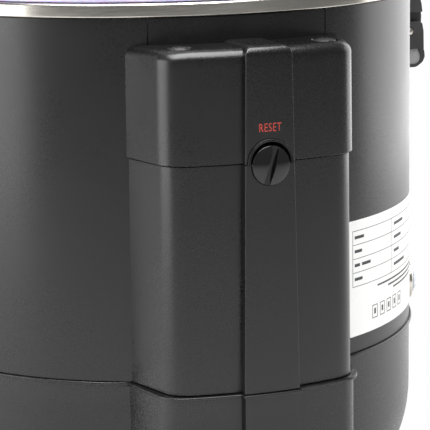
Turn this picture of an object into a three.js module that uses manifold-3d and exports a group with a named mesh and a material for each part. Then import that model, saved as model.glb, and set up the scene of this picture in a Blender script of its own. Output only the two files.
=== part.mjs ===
// Large electric pressure cooker, built as an assembly of separate solids.
// Millimetres, +Z up, origin on the resting plane at the centre of the body.
// The rear service housing is on +Y, the control panel on -Y, the side handles on -X and +X.
// Angles around the body are in degrees from the rear (+Y), growing towards +X.
import * as THREE from 'three';
import { mergeVertices } from 'three/addons/utils/BufferGeometryUtils.js';
import Module from 'manifold-3d';

const wasm = await Module();
wasm.setup();

// ---- driving dimensions --------------------------------------------------
const GAP = 0.3;              // clearance between pieces that rest on or meet each other
const SLIDE_GAP = 0.35;       // clearance round a piece that slides or turns
const BODY_R = 160;           // painted outer shell, outside
const SHELL_WALL = 1.5;
const SHELL_H = 202;
const FOOT_H = 8;
const FOOT_R = 12;
const FOOT_INSET = 13.7;       // from the bottom cover's edge to a foot
const BASE_H = 87;            // base moulding, from its lower edge to the seam trim
const BASE_WALL = 2.5;
const BASE_CURVE_H = 46;      // height of the curved lower part of the base wall
const BASE_CURVE_R = 85;      // profile radius of that curve
const TRIM_H = 2;
const TRIM_PROUD = 1.5;
const RIM_H = 7.5;
const RIM_PROUD = 2;
const RIM_WIDTH = 15;

const HOUSING_REACH = 33;     // upper cover's face, outside the shell
const HOUSING_ROOT = 23.6;    // angle at which the housing's side walls meet the shell
const HOUSING_CORNER = 16.3;  // angle of the sharp corner that is rounded off
const HOUSING_CORNER_CUT = 6.5;  // length taken off each side of that corner
const HOUSING_TAIL = 14;       // how far the walls' outline runs on inside the shell
const HOUSING_TOP_DROP = 15;  // housing top below the rim
const COVER_WALL = 2.5;
const COVER_STEP = 1.2;       // upper cover proud of the lower one
const COVER_SPLIT_DROP = 76;  // split line below the rim
const STRIP_PROUD = 4;
const STRIP_MARGIN = 2.5;     // strip's top outside the reset cap
const STRIP_SPREAD = 4.4;     // strip's half width gained from top to foot
const PANEL_SEAM = 18.95;     // half angle of the rear panel
const RESET_DROP = 77.1;      // reset cap's centre below the rim
const RESET_CAP_R = 10.7;
const RESET_DOME = 2.4;       // rise of the cap's domed face
const RESET_SLOT = 3.5;       // coin slot's width
const RESET_SLOT_TILT = 15;
const RESET_PROUD = 3.2;      // cap's crown outside the strip
const RESET_ARCH_ROOM = 0.3;  // arched collar's bore round the cap
const RESET_ARCH_LIFT = 1.2;  // arched collar's centre above the cap's
const RESET_ARCH_WIDTH = 2.2; // arched collar's width
const PLUG_CAP_R = 6;
const PLUG_CAP_ANGLE = 13.5;
const PLUG_CAP_INSET = 14.5;  // behind the upper cover's face

const HANDLE_REACH = 18.2;    // of the bowed outer face, outside the shell
const HANDLE_WIDTH = 51;
const HANDLE_ARM = 5.5;       // thickness of the grip's arms, one at each end
const HANDLE_ARM_R = 12;      // reach of an arm beyond the pin
const HANDLE_TOP_DROP = 5;
const HANDLE_BAR_DROP = 43.8; // top of the grip's bar below the rim
const HANDLE_END_DROP = 54.8;
const HANDLE_PIN_DROP = 32;
const HANDLE_PIN_OUT = 6;
const HANDLE_PIN_R = 2.1;

const LINER_ROOM = 14;        // insulation space, from the shell's outside to the liner's
const LINER_WALL = 1.2;
const LINER_DROP = 8;         // liner's floor below the seam
const LUG_ROOM = 5;           // from the liner's outside to the lugs' tips
const LUG_LENGTH = 5;
const TOOTH_GAP = 1.4;        // from the lid plate's wall to the teeth's tips
const FLANGE_GAP = 0.6;       // pot's flange inside the teeth, so that the pot lifts out
const POT_FLANGE = 11.8;      // width of the flange outside the pot's wall
const POT_WALL = 1.6;
const HEATER_ROOM = 32.6;     // from the liner's underside to the pot's
const LUG_COUNT = 6;
const LUG_HALF = 10.5;        // half angle of one lug or tooth
const SEAL_FIT = 1.2;         // sealing ring inside the lid plate's wall
const LID_INSET = 2;          // lid cover inside the body's outline
const LID_RISE = 40.5;
const LID_WALL = 2.6;
const GRIP_RISE = 28;
const VALVE_OUT = 84;
const FLOAT_ANGLE = 32;

const PANEL_HALF = 25;        // control panel, half angle
const PANEL_H = 104;
const PANEL_DEPTH = 17;
const PANEL_WALL = 3;
const BUTTON_R = 6.5;
const BUTTON_PROUD = 1.8;
const KNOB_R = 17;
const KNOB_STEM_R = 4;

// ---- radii and heights worked out from them ------------------------------
const LINER_R = BODY_R - LINER_ROOM;
const LUG_R = LINER_R - LUG_ROOM;
const DOME_R = LUG_R - LUG_LENGTH;
const TOOTH_R = DOME_R + TOOTH_GAP;
const POT_FLANGE_R = TOOTH_R - FLANGE_GAP;
const POT_R = POT_FLANGE_R - POT_FLANGE;
const LID_R = BODY_R - LID_INSET;
const BASE_FOOT_R = BODY_R - BASE_CURVE_R + Math.sqrt(BASE_CURVE_R ** 2 - BASE_CURVE_H ** 2);
const BOTTOM_R = BASE_FOOT_R - BASE_WALL - GAP;
const FOOT_CIRCLE_R = BOTTOM_R - FOOT_INSET - FOOT_R;
const BASE_Z = FOOT_H;
const SEAM_Z = BASE_Z + BASE_H;
const SHELL_Z = SEAM_Z + TRIM_H + GAP;
const RIM_Z = SHELL_Z + SHELL_H;
const RIM_TOP = RIM_Z + RIM_H;
const HOUSING_TOP = RIM_Z - HOUSING_TOP_DROP;
const SPLIT_Z = RIM_Z - COVER_SPLIT_DROP;
const RESET_Z = RIM_Z - RESET_DROP;
const FACE_R = BODY_R + HOUSING_REACH;
const STRIP_R = FACE_R + STRIP_PROUD;
const STRIP_TOP_HALF = RESET_CAP_R + STRIP_MARGIN;
const STRIP_FOOT_HALF = STRIP_TOP_HALF + STRIP_SPREAD;
const RESET_ARCH_BORE = RESET_CAP_R + RESET_ARCH_ROOM;
const RESET_ARCH_R = RESET_ARCH_BORE + RESET_ARCH_WIDTH;
const RESET_ARCH_Z = RESET_Z + RESET_ARCH_LIFT;
const REACH = STRIP_R + RESET_PROUD;      // farthest point to the rear and to the front
const LOCK_Z = RIM_TOP + 1.8;
const LOCK_TOP = LOCK_Z + 2.4;
const LUG_Z = RIM_TOP - 3.5;
const LINER_Z = SEAM_Z - LINER_DROP;
const POT_Z = LINER_Z + HEATER_ROOM;
const POT_TOP = RIM_Z - 1.7;
const LID_Z = LOCK_TOP + GAP;
const LID_TOP = LID_Z + LID_RISE;
const DOME_TOP = LID_TOP - 20.5;
const PANEL_Z = SHELL_Z + 16;
const OUTER_SEGMENTS = 40;
const FINE_SEGMENTS = 96;     // round cuts that follow the body or the housing face
const INNER_SEGMENTS = 28;
const SMALL_SEGMENTS = 12;

const rad = THREE.MathUtils.degToRad;

// ---- solids ---------------------------------------------------------------
function signedVolume(position, index) {
  let six = 0;
  const corner = [new THREE.Vector3(), new THREE.Vector3(), new THREE.Vector3()];
  for (let i = 0; i < index.length; i += 3) {
    corner.forEach((v, k) => v.fromBufferAttribute(position, index[i + k]));
    six += corner[0].dot(corner[1].cross(corner[2]));
  }
  return six / 6;
}

// A closed geometry with merged corners, faces outwards, as a solid that can be cut and joined.
function solid(geometry) {
  const bare = geometry.clone();
  bare.deleteAttribute('normal');
  bare.deleteAttribute('uv');
  const merged = mergeVertices(bare, 1e-4);
  const position = merged.attributes.position;
  const corners = merged.index.array;
  const kept = [];
  for (let i = 0; i < corners.length; i += 3) {
    const [a, b, c] = corners.slice(i, i + 3);
    if (a !== b && b !== c && c !== a) kept.push(a, b, c);
  }
  if (signedVolume(position, kept) < 0) kept.reverse();
  const vertProperties = new Float32Array(position.array);
  const triVerts = new Uint32Array(kept);
  return new wasm.Manifold(new wasm.Mesh({ numProp: 3, vertProperties, triVerts }));
}

function geometryOf(body) {
  const mesh = body.getMesh();
  const geometry = new THREE.BufferGeometry();
  geometry.setAttribute('position', new THREE.BufferAttribute(mesh.vertProperties, 3));
  geometry.setIndex(new THREE.BufferAttribute(mesh.triVerts, 1));
  return geometry;
}

function cut(body, ...tools) {
  return tools.reduce((left, tool) => left.subtract(tool), body);
}

function join(...bodies) {
  return bodies.reduce((sum, next) => sum.add(next));
}

// ---- basic shapes ---------------------------------------------------------
function prism(shape, z0, z1, curveSegments = 12) {
  const options = { depth: z1 - z0, bevelEnabled: false, curveSegments };
  return new THREE.ExtrudeGeometry(shape, options).translate(0, 0, z0);
}

// A profile of [radius, height] points turned about the Z axis.
function turned(profile, segments = INNER_SEGMENTS) {
  const points = profile.map(([r, z]) => new THREE.Vector2(r, z));
  if (profile[0][0] > 0) points.push(points[0].clone());
  return new THREE.LatheGeometry(points, segments).rotateX(Math.PI / 2);
}

function tube(rIn, rOut, z0, z1, segments = INNER_SEGMENTS) {
  return turned([[rIn, z0], [rOut, z0], [rOut, z1], [rIn, z1]], segments);
}

function rod(r, z0, z1, segments = SMALL_SEGMENTS) {
  return turned([[0, z0], [r, z0], [r, z1], [0, z1]], segments);
}

function block(x0, x1, y0, y1, z0, z1) {
  const box = new THREE.BoxGeometry(x1 - x0, y1 - y0, z1 - z0);
  return box.translate((x0 + x1) / 2, (y0 + y1) / 2, (z0 + z1) / 2);
}

// A ring sector between two angles from the rear.
function sector(rIn, rOut, from, to) {
  const shape = new THREE.Shape();
  shape.absarc(0, 0, rOut, rad(90 - to), rad(90 - from), false);
  shape.absarc(0, 0, rIn, rad(90 - from), rad(90 - to), true);
  return shape;
}

function polar(r, angle) {
  return [r * Math.sin(rad(angle)), r * Math.cos(rad(angle))];
}

// Turns a shape made along +Z so that it points outwards at an angle from the rear.
function outward(geometry, angle, z) {
  return geometry.rotateX(-Math.PI / 2).rotateZ(-rad(angle)).translate(0, 0, z);
}

// ---- rear housing's plan --------------------------------------------------
// Flared side walls, rounded corners and a face concentric with the body. The walls run on
// a little way inside the shell's surface, where they are trimmed off.
function housingPlan(grow) {
  const face = FACE_R + grow;
  const spread = THREE.MathUtils.radToDeg(grow / BODY_R);
  const corner = HOUSING_CORNER + spread;
  const bend = THREE.MathUtils.radToDeg(HOUSING_CORNER_CUT / face);
  const alongWall = (side, fromTip) => {
    const root = new THREE.Vector2(...polar(BODY_R, side * (HOUSING_ROOT + spread)));
    const tip = new THREE.Vector2(...polar(face, side * corner));
    const wall = root.clone().sub(tip);
    return tip.add(wall.setLength(fromTip === undefined ? wall.length() + HOUSING_TAIL : fromTip)).toArray();
  };
  const shape = new THREE.Shape();
  shape.moveTo(...alongWall(1));
  shape.lineTo(...alongWall(1, HOUSING_CORNER_CUT));
  shape.quadraticCurveTo(...polar(face, corner), ...polar(face, corner - bend));
  shape.absarc(0, 0, face, rad(90 - corner + bend), rad(90 + corner - bend), false);
  shape.quadraticCurveTo(...polar(face, -corner), ...alongWall(-1, HOUSING_CORNER_CUT));
  shape.lineTo(...alongWall(-1));
  return shape;
}

function stripHalf(z) {
  const share = (HOUSING_TOP - z) / (HOUSING_TOP - BASE_Z);
  return STRIP_TOP_HALF + (STRIP_FOOT_HALF - STRIP_TOP_HALF) * share;
}

// The tapered centre strip's front view, as a prism from the body's axis to well outside it.
function stripWedge(z0, z1, grow) {
  const shape = new THREE.Shape();
  shape.moveTo(-stripHalf(z0) - grow, z0);
  shape.lineTo(stripHalf(z0) + grow, z0);
  shape.lineTo(stripHalf(z1) + grow, z1);
  shape.lineTo(-stripHalf(z1) - grow, z1);
  const reach = REACH + 20;
  return prism(shape, 0, reach).rotateX(Math.PI / 2).translate(0, reach, 0);
}

function housingBlock(z0, z1, grow) {
  return solid(prism(housingPlan(grow), z0, z1, 6));
}

function stripBlock(z0, z1, grow) {
  return solid(stripWedge(z0, z1, grow)).intersect(solid(rod(STRIP_R + grow, z0, z1, FINE_SEGMENTS)));
}

// Body, housing and strip together, between two heights.
function plan(z0, z1, grow) {
  const body = solid(rod(BODY_R + grow, z0, z1, OUTER_SEGMENTS));
  return join(body, housingBlock(z0, z1, grow), stripBlock(z0, z1, grow));
}

// Full round solid whose wall is upright above and curves inwards towards the lower edge.
function curvedBarrel(r, z0, z1) {
  const profile = [[0, z0]];
  for (const share of [1, 0.72, 0.42, 0]) {
    const drop = share * BASE_CURVE_H;
    profile.push([r - BASE_CURVE_R + Math.sqrt(BASE_CURVE_R ** 2 - drop ** 2), BASE_Z + BASE_CURVE_H - drop]);
  }
  profile[1][1] = z0;
  profile.push([r, z1], [0, z1]);
  return solid(turned(profile, OUTER_SEGMENTS));
}

// ---- the group and its materials ------------------------------------------
const cooker = new THREE.Group();

function finish(color, roughness, metalness = 0) {
  return () => new THREE.MeshStandardMaterial({ color, roughness, metalness });
}

const blackPaint = finish(0x2b2b2c, 0.5);
const blackPlastic = finish(0x242425, 0.45);
const glossBlack = finish(0x121213, 0.2);
const greyPlastic = finish(0x4b4b4c, 0.5);
const palePlastic = finish(0x8f9092, 0.5);
const steel = finish(0xc9c8c4, 0.25, 1);
const aluminium = finish(0xb4b5b6, 0.45, 1);
const rubber = finish(0x1a1a1a, 0.9);
const lilacSilicone = finish(0xb9b4cf, 0.4);
const whiteSilicone = finish(0xe4e4e0, 0.5);
const redPlastic = finish(0xb3231c, 0.4);
const circuitGreen = finish(0x1f5c3a, 0.6);
const smokedGlass = finish(0x0d0f12, 0.08);
const clearLens = finish(0xdfe6ee, 0.1);
const labelFilm = finish(0xf0f0ee, 0.45);

function add(name, shape, material, position = [0, 0, 0]) {
  const geometry = shape.getMesh ? geometryOf(shape) : geometryOf(solid(shape));
  const mesh = new THREE.Mesh(geometry, material());
  mesh.name = name;
  mesh.position.set(...position);
  cooker.add(mesh);
}

// ---- base -----------------------------------------------------------------
function addBase() {
  const top = SEAM_Z - GAP;
  const housing = join(housingBlock(BASE_Z, top, 0), stripBlock(BASE_Z, top, 0))
    .intersect(curvedBarrel(STRIP_R, BASE_Z, top));
  const housingRoom = join(
    housingBlock(BASE_Z + 2 * COVER_WALL, top + 1, -COVER_WALL),
    stripBlock(BASE_Z + 2 * COVER_WALL, top + 1, -COVER_WALL),
  ).intersect(curvedBarrel(STRIP_R - COVER_WALL, BASE_Z, top + 1));
  const barrel = join(curvedBarrel(BODY_R, BASE_Z, top), housing);
  const room = join(curvedBarrel(BODY_R - BASE_WALL, BASE_Z - 1, top + 1), housingRoom);
  const throughWall = block(-15.4, 15.4, -11.4, 11.4, BODY_R - 30, BODY_R + 10);
  const inletHole = solid(outward(throughWall, INLET_ANGLE, INLET_Z));
  add('base_skirt', cut(barrel, room, inletHole), blackPlastic);

  const trimOuter = plan(SEAM_Z, SEAM_Z + TRIM_H, TRIM_PROUD);
  add('seam_trim', cut(trimOuter, plan(SEAM_Z - 1, SEAM_Z + TRIM_H + 1, -BASE_WALL)), blackPlastic);

  const vents = [];
  for (let i = 0; i < 8; i += 1) {
    vents.push(solid(block(-2, 2, 42, 82, BASE_Z - 1, BASE_Z + 5).rotateZ(rad(i * 45))));
  }
  add('bottom_cover', cut(solid(rod(BOTTOM_R, BASE_Z, BASE_Z + 2.5, INNER_SEGMENTS)), ...vents), blackPlastic);

  const footProfile = [[0, 0], [FOOT_R - 2, 0], [FOOT_R, 2], [FOOT_R, FOOT_H - GAP], [0, FOOT_H - GAP]];
  for (let i = 0; i < 4; i += 1) {
    const [x, y] = polar(FOOT_CIRCLE_R, 45 + i * 90);
    add(`foot_${i + 1}`, turned(footProfile, SMALL_SEGMENTS), rubber, [x, y, 0]);
  }
}

// ---- power inlet, in the base wall ------------------------------------------
const INLET_ANGLE = 90;
const INLET_Z = SEAM_Z - 20;

function addInlet() {
  const flange = BODY_R + GAP + 0.4;
  const body = join(
    solid(block(-15, 15, -11, 11, BODY_R - 24, flange)),
    solid(block(-18.5, 18.5, -14.2, 14.2, flange, flange + 2)),
  );
  const well = solid(block(-12.2, 12.2, -8.2, 8.2, BODY_R - 21, flange + 3));
  const pins = [[-7, 2], [0, -2.5], [7, 2]].map(([x, y]) =>
    solid(block(x - 0.9, x + 0.9, y - 1.9, y + 1.9, BODY_R - 22, BODY_R - 5)));
  add('power_inlet', outward(geometryOf(join(cut(body, well), ...pins)), INLET_ANGLE, INLET_Z), glossBlack);
}

// ---- shell, rear panel and rim ----------------------------------------------
function addShell() {
  const top = RIM_Z - GAP;
  const seamGap = THREE.MathUtils.radToDeg(GAP / 2 / BODY_R);
  const wrap = sector(BODY_R - SHELL_WALL, BODY_R, PANEL_SEAM + seamGap, 360 - PANEL_SEAM - seamGap);
  const window = sector(BODY_R - 10, BODY_R + 10, 180 - PANEL_HALF + 3, 180 + PANEL_HALF - 3);
  const opening = solid(prism(window, PANEL_Z + 8, PANEL_Z + PANEL_H - 8));
  add('outer_shell', cut(solid(prism(wrap, SHELL_Z, top, OUTER_SEGMENTS / 2)), opening), blackPaint);

  const rear = sector(BODY_R - SHELL_WALL, BODY_R, -PANEL_SEAM + seamGap, PANEL_SEAM - seamGap);
  const wiring = solid(block(-14, 14, BODY_R - 10, BODY_R + 10, SHELL_Z + 30, SHELL_Z + 70));
  add('rear_panel', cut(solid(prism(rear, SHELL_Z, top, 4)), wiring), blackPaint);

  const rimR = BODY_R + RIM_PROUD;
  const rim = [
    [rimR - RIM_WIDTH, RIM_TOP - 3.5], [BODY_R - 4, RIM_TOP - 3.5], [BODY_R - 4, RIM_Z], [rimR, RIM_Z],
    [rimR, RIM_TOP - 1.2], [rimR - 1.2, RIM_TOP], [rimR - RIM_WIDTH, RIM_TOP],
  ];
  add('rim_ring', turned(rim, OUTER_SEGMENTS), steel);
  add('rim_seal', tube(BODY_R - 6, BODY_R - 1.5, RIM_TOP + GAP, LID_Z - GAP, OUTER_SEGMENTS), lilacSilicone);
}

// ---- rear service housing -----------------------------------------------------
function resetHole(r, z) {
  return solid(outward(rod(r, BODY_R + 5, REACH + 5, 32), 0, z));
}

function coverShell(z0, z1, grow, closedTop) {
  const roomTop = closedTop ? z1 - COVER_WALL : z1 + 1;
  const behind = solid(rod(BODY_R + GAP, z0 - 2, z1 + 2, FINE_SEGMENTS));
  return cut(housingBlock(z0, z1, grow), housingBlock(z0 - 1, roomTop, grow - COVER_WALL), behind);
}

function stripCover(z0, z1, inner, innerTop) {
  const behind = solid(rod(inner, z0 - 2, innerTop, FINE_SEGMENTS));
  const body = solid(rod(BODY_R + GAP, z0 - 2, z1 + 2, FINE_SEGMENTS));
  return cut(stripBlock(z0, z1, 0), behind, body);
}

function addRearHousing() {
  const lowerTop = SPLIT_Z - GAP;
  const archHole = resetHole(RESET_ARCH_R + GAP, RESET_ARCH_Z);
  const capHole = resetHole(RESET_CAP_R + SLIDE_GAP, RESET_Z);
  add('housing_upper_cover', cut(coverShell(SPLIT_Z, HOUSING_TOP, 0, true), archHole), blackPlastic);
  add('housing_lower_cover', cut(coverShell(SHELL_Z, lowerTop, -COVER_STEP, false), capHole), blackPlastic);

  const stripTop = HOUSING_TOP + 1.6;
  const upperStrip = stripCover(SPLIT_Z, stripTop, FACE_R + GAP, HOUSING_TOP + GAP);
  const lowerStrip = stripCover(SHELL_Z, lowerTop, FACE_R + GAP - COVER_STEP, lowerTop + 2);
  add('centre_strip_upper', cut(upperStrip, archHole), blackPlastic);
  add('centre_strip_lower', cut(lowerStrip, capHole), blackPlastic);

  const ring = tube(RESET_ARCH_BORE, RESET_ARCH_R, FACE_R - 7, STRIP_R + 0.9, 32);
  const side = RESET_ARCH_R + 1;
  const below = solid(block(-side, side, BODY_R, REACH + 5, RESET_Z - side, SPLIT_Z));
  add('reset_collar', cut(solid(outward(ring, 0, RESET_ARCH_Z)), below), blackPlastic);

  const crown = REACH;
  const cap = solid(turned([
    [0, FACE_R - 2], [RESET_CAP_R, FACE_R - 2], [RESET_CAP_R, crown - RESET_DOME],
    [RESET_CAP_R - 0.8, crown - RESET_DOME * 0.7], [RESET_CAP_R - 2.7, crown - RESET_DOME * 0.4],
    [RESET_CAP_R - 6.4, crown - RESET_DOME * 0.1], [0, crown],
  ], 32));
  const slot = solid(block(
    -RESET_SLOT / 2, RESET_SLOT / 2, -RESET_CAP_R - 1, RESET_CAP_R + 1, crown - RESET_DOME - 0.2, crown + 2,
  ).rotateZ(rad(-RESET_SLOT_TILT)));
  add('reset_cap', outward(geometryOf(cut(cap, slot)), 0, RESET_Z), glossBlack);
  const washer = tube(5.5, RESET_CAP_R - 0.3, FACE_R - 4.2, FACE_R - 2 - GAP, 24);
  add('reset_cap_seal', outward(washer, 0, RESET_Z), rubber);

  const holder = join(
    solid(block(-17, 17, -11, 11, BODY_R + 0.6, BODY_R + 10)),
    solid(rod(8, BODY_R + 9, BODY_R + 16)),
  );
  const bore = solid(rod(3 + SLIDE_GAP, BODY_R + 4, BODY_R + 20));
  add('thermal_cutout', outward(geometryOf(cut(holder, bore)), 0, RESET_Z), glossBlack);
  add('reset_button', outward(rod(3, BODY_R + 7, BODY_R + 20), 0, RESET_Z), redPlastic);

  for (const [name, side] of [['left', -1], ['right', 1]]) {
    const [x, y] = polar(FACE_R - PLUG_CAP_INSET, side * PLUG_CAP_ANGLE);
    const dome = [[0, 0], [PLUG_CAP_R, 0], [PLUG_CAP_R, 0.5], [PLUG_CAP_R - 1.5, 1.1], [0, 1.4]];
    add(`screw_cover_${name}`, turned(dome, SMALL_SEGMENTS), palePlastic, [x, y, HOUSING_TOP + GAP]);
  }
}

// ---- side handles: a fixed bracket, a cross pin and a drop grip -----------------
// Side views are drawn with [distance outside the shell, height].
function sideView(points, halfWidth) {
  const shape = new THREE.Shape(points.map(([out, z]) => new THREE.Vector2(BODY_R + out, z)));
  return solid(prism(shape, -halfWidth, halfWidth).rotateX(Math.PI / 2));
}

function addHandle(name, side) {
  const z = (drop) => RIM_Z - drop;
  const half = HANDLE_WIDTH / 2;
  const inside = half - HANDLE_ARM;
  const pinZ = z(HANDLE_PIN_DROP);
  const across = (r, halfLength) =>
    solid(rod(r, -halfLength, halfLength).rotateX(Math.PI / 2).translate(BODY_R + HANDLE_PIN_OUT, 0, pinZ));
  const shell = solid(rod(BODY_R + GAP, z(70), z(0), FINE_SEGMENTS));
  const bowed = (view) => view.intersect(solid(rod(BODY_R + HANDLE_REACH, z(70), z(0), FINE_SEGMENTS)));
  const out = HANDLE_PIN_OUT;
  const hoodFoot = pinZ + HANDLE_ARM_R;
  const hoodView = [
    [-3, hoodFoot], [HANDLE_REACH - 1.2, hoodFoot], [HANDLE_REACH - 1.8, z(16)],
    [HANDLE_REACH - 3.8, z(10)], [HANDLE_REACH - 9, z(HANDLE_TOP_DROP)], [-3, z(HANDLE_TOP_DROP)],
  ];
  const knuckleR = HANDLE_BAR_DROP - HANDLE_PIN_DROP - SLIDE_GAP;
  const roundBelow = [90, 75, 60, 45, 30, 15, 0].map((down) =>
    [out + knuckleR * Math.cos(rad(down)), pinZ - knuckleR * Math.sin(rad(down))]);
  const knuckleView = [
    [-3, pinZ - knuckleR], ...roundBelow, [out + knuckleR + 0.2, z(27)], [HANDLE_REACH - 1.2, hoodFoot + 1],
    [-3, hoodFoot + 1],
  ];
  const bracket = join(sideView(hoodView, half), sideView(knuckleView, inside - GAP));
  const bracketSolid = cut(bowed(bracket), shell, across(HANDLE_PIN_R + SLIDE_GAP, half));
  add(`handle_bracket_${name}`, mirrored(bracketSolid, side), greyPlastic);

  const armView = [
    [3, z(HANDLE_BAR_DROP)], [out - 4.5, pinZ - 5], [out - 6, pinZ], [out - 4.4, pinZ + 4.4], [out, pinZ + 6.2],
    [out + 4.8, pinZ + 5.4], [out + HANDLE_ARM_R - 1.5, pinZ + 3.2], [out + HANDLE_ARM_R, pinZ - 0.5],
    [out + HANDLE_ARM_R - 0.2, z(HANDLE_BAR_DROP - 1)], [HANDLE_REACH - 1.2, z(HANDLE_BAR_DROP)],
  ].reverse();
  const barView = [
    [3, z(HANDLE_BAR_DROP)], [HANDLE_REACH - 0.9, z(HANDLE_BAR_DROP)], [HANDLE_REACH, z(HANDLE_BAR_DROP + 4.6)],
    [HANDLE_REACH - 1.2, z(HANDLE_END_DROP - 2.5)], [HANDLE_REACH - 4.6, z(HANDLE_END_DROP)],
    [6, z(HANDLE_END_DROP)], [3, z(HANDLE_END_DROP - 3)],
  ].reverse();
  const arms = cut(sideView(armView, half), solid(block(0, 400, -inside, inside, 0, 400)));
  const pocketView = [
    [4.4, z(HANDLE_BAR_DROP + 1.8)], [HANDLE_REACH - 5.2, z(HANDLE_BAR_DROP + 0.4)],
    [HANDLE_REACH - 3.2, z(HANDLE_BAR_DROP + 5)], [HANDLE_REACH - 5, z(HANDLE_END_DROP - 1.8)],
    [6.6, z(HANDLE_END_DROP - 1.8)], [4.4, z(HANDLE_END_DROP - 3.8)],
  ].reverse();
  const pocket = cut(sideView(pocketView, half + 1), solid(block(0, 400, 3 - half, half - 3, 0, 400)));
  const pinHole = across(HANDLE_PIN_R + SLIDE_GAP, half + 1);
  const grip = cut(bowed(join(sideView(barView, half), arms)), pocket, pinHole);
  add(`handle_grip_${name}`, mirrored(grip, side), greyPlastic);

  const betweenHeads = solid(block(0, 400, -half - GAP, half + GAP, 0, 400));
  const heads = cut(across(HANDLE_PIN_R + 0.6, half + 1.4), betweenHeads);
  add(`handle_pin_${name}`, mirrored(join(across(HANDLE_PIN_R, half + 1), heads), side), steel);
}

function mirrored(body, side) {
  return geometryOf(body).rotateZ(side < 0 ? Math.PI : 0);
}

// ---- rating label and side lamp --------------------------------------------------
const LABEL_FROM = -66.4;
const LABEL_TO = -25.2;
const LABEL_Z = SHELL_Z + 9.5;
const LABEL_H = 68.5;
const LAMP_ANGLE = -72;
const LAMP_Z = SHELL_Z + 16;
const LAMP_R = 12;

function addLabelAndLamp() {
  const film = sector(BODY_R + 0.1, BODY_R + 0.4, LABEL_FROM, LABEL_TO);
  add('rating_label', prism(film, LABEL_Z, LABEL_Z + LABEL_H, 8), labelFilm);
  const bezel = turned([
    [LAMP_R - 3, BODY_R + 0.7], [LAMP_R, BODY_R + 0.7], [LAMP_R, BODY_R + 1.8], [LAMP_R - 0.8, BODY_R + 2.6],
    [LAMP_R - 3, BODY_R + 2.6],
  ], 24);
  add('lamp_bezel', outward(bezel, LAMP_ANGLE, LAMP_Z), steel);
  const lensR = LAMP_R - 3 - GAP;
  const lens = [
    [0, BODY_R + 0.4], [lensR, BODY_R + 0.4], [lensR, BODY_R + 3.4], [lensR - 3, BODY_R + 5.2], [0, BODY_R + 6],
  ];
  add('lamp_lens', outward(turned(lens, 24), LAMP_ANGLE, LAMP_Z), clearLens);
}

// ---- control panel -----------------------------------------------------------------
const KNOB_Z = PANEL_Z + 30;
const BUTTONS = [['start', -19], ['timer', -11.5], ['keep_warm', 11.5], ['cancel', 19]];
const DISPLAY_HALF = 13;
const DISPLAY_GAP = 11;       // display above the knob's edge
const DISPLAY_TOP = 12;       // display below the panel's top
const BOARD_HALF = 48;

function addControlPanel() {
  const front = BODY_R + PANEL_DEPTH;
  const z1 = PANEL_Z + PANEL_H;
  const pod = sector(BODY_R + GAP, front, 180 - PANEL_HALF, 180 + PANEL_HALF);
  const face = solid(prism(pod, PANEL_Z, z1, 8));
  const margin = THREE.MathUtils.radToDeg(PANEL_WALL / BODY_R);
  const room = sector(BODY_R - 5, front - PANEL_WALL, 180 - PANEL_HALF + margin, 180 + PANEL_HALF - margin);
  const windowAt = (grow) => {
    const half = DISPLAY_HALF + THREE.MathUtils.radToDeg(grow / front);
    return sector(front - PANEL_WALL - 2, front + 2, 180 - half, 180 + half);
  };
  const windowZ = [KNOB_Z + KNOB_R + DISPLAY_GAP, z1 - DISPLAY_TOP];
  const hole = (r, angle) => solid(outward(rod(r + SLIDE_GAP, BODY_R - 10, front + 20), 180 + angle, KNOB_Z));
  add('control_panel', cut(
    face,
    solid(prism(room, PANEL_Z + PANEL_WALL, z1 - PANEL_WALL, 8)),
    solid(prism(windowAt(GAP), windowZ[0] - GAP, windowZ[1] + GAP, 6)),
    hole(KNOB_STEM_R, 0),
    ...BUTTONS.map(([, angle]) => hole(BUTTON_R, angle)),
  ), glossBlack);
  const pane = windowAt(0);
  const trimmed = solid(prism(pane, windowZ[0], windowZ[1], 6))
    .intersect(solid(tube(front - PANEL_WALL, front - 0.4, windowZ[0] - 1, windowZ[1] + 1, 120)));
  add('display_window', trimmed, smokedGlass);
  const board = block(-BOARD_HALF, BOARD_HALF, -BODY_R + 4.2, -BODY_R + 5.8, PANEL_Z + 10, z1 - DISPLAY_TOP);
  add('control_board', board, circuitGreen);

  for (const [name, angle] of BUTTONS) {
    const button = turned([
      [0, front - 9], [4, front - 9], [4, front - PANEL_WALL - 2.4], [BUTTON_R, front - PANEL_WALL - 2.4],
      [BUTTON_R, front + BUTTON_PROUD - 0.7], [BUTTON_R - 0.7, front + BUTTON_PROUD], [0, front + BUTTON_PROUD],
    ], SMALL_SEGMENTS);
    add(`button_${name}`, outward(button, 180 + angle, KNOB_Z), palePlastic);
  }
  const knob = join(
    solid(turned([
      [0, front + 1], [KNOB_R, front + 1], [KNOB_R - 1.2, REACH - 2], [KNOB_R - 3, REACH], [0, REACH],
    ], 24)),
    solid(rod(KNOB_STEM_R, front - 9, front + 2)),
  );
  add('selector_knob', outward(geometryOf(knob), 180, KNOB_Z), steel);
}

// ---- liner, heating and pot -----------------------------------------------------------
const PLATE_R = POT_R - 25;
const PLATE_H = 12.7;
const SENSOR_R = 18;
const SENSOR_STEM_R = 7;

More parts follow.
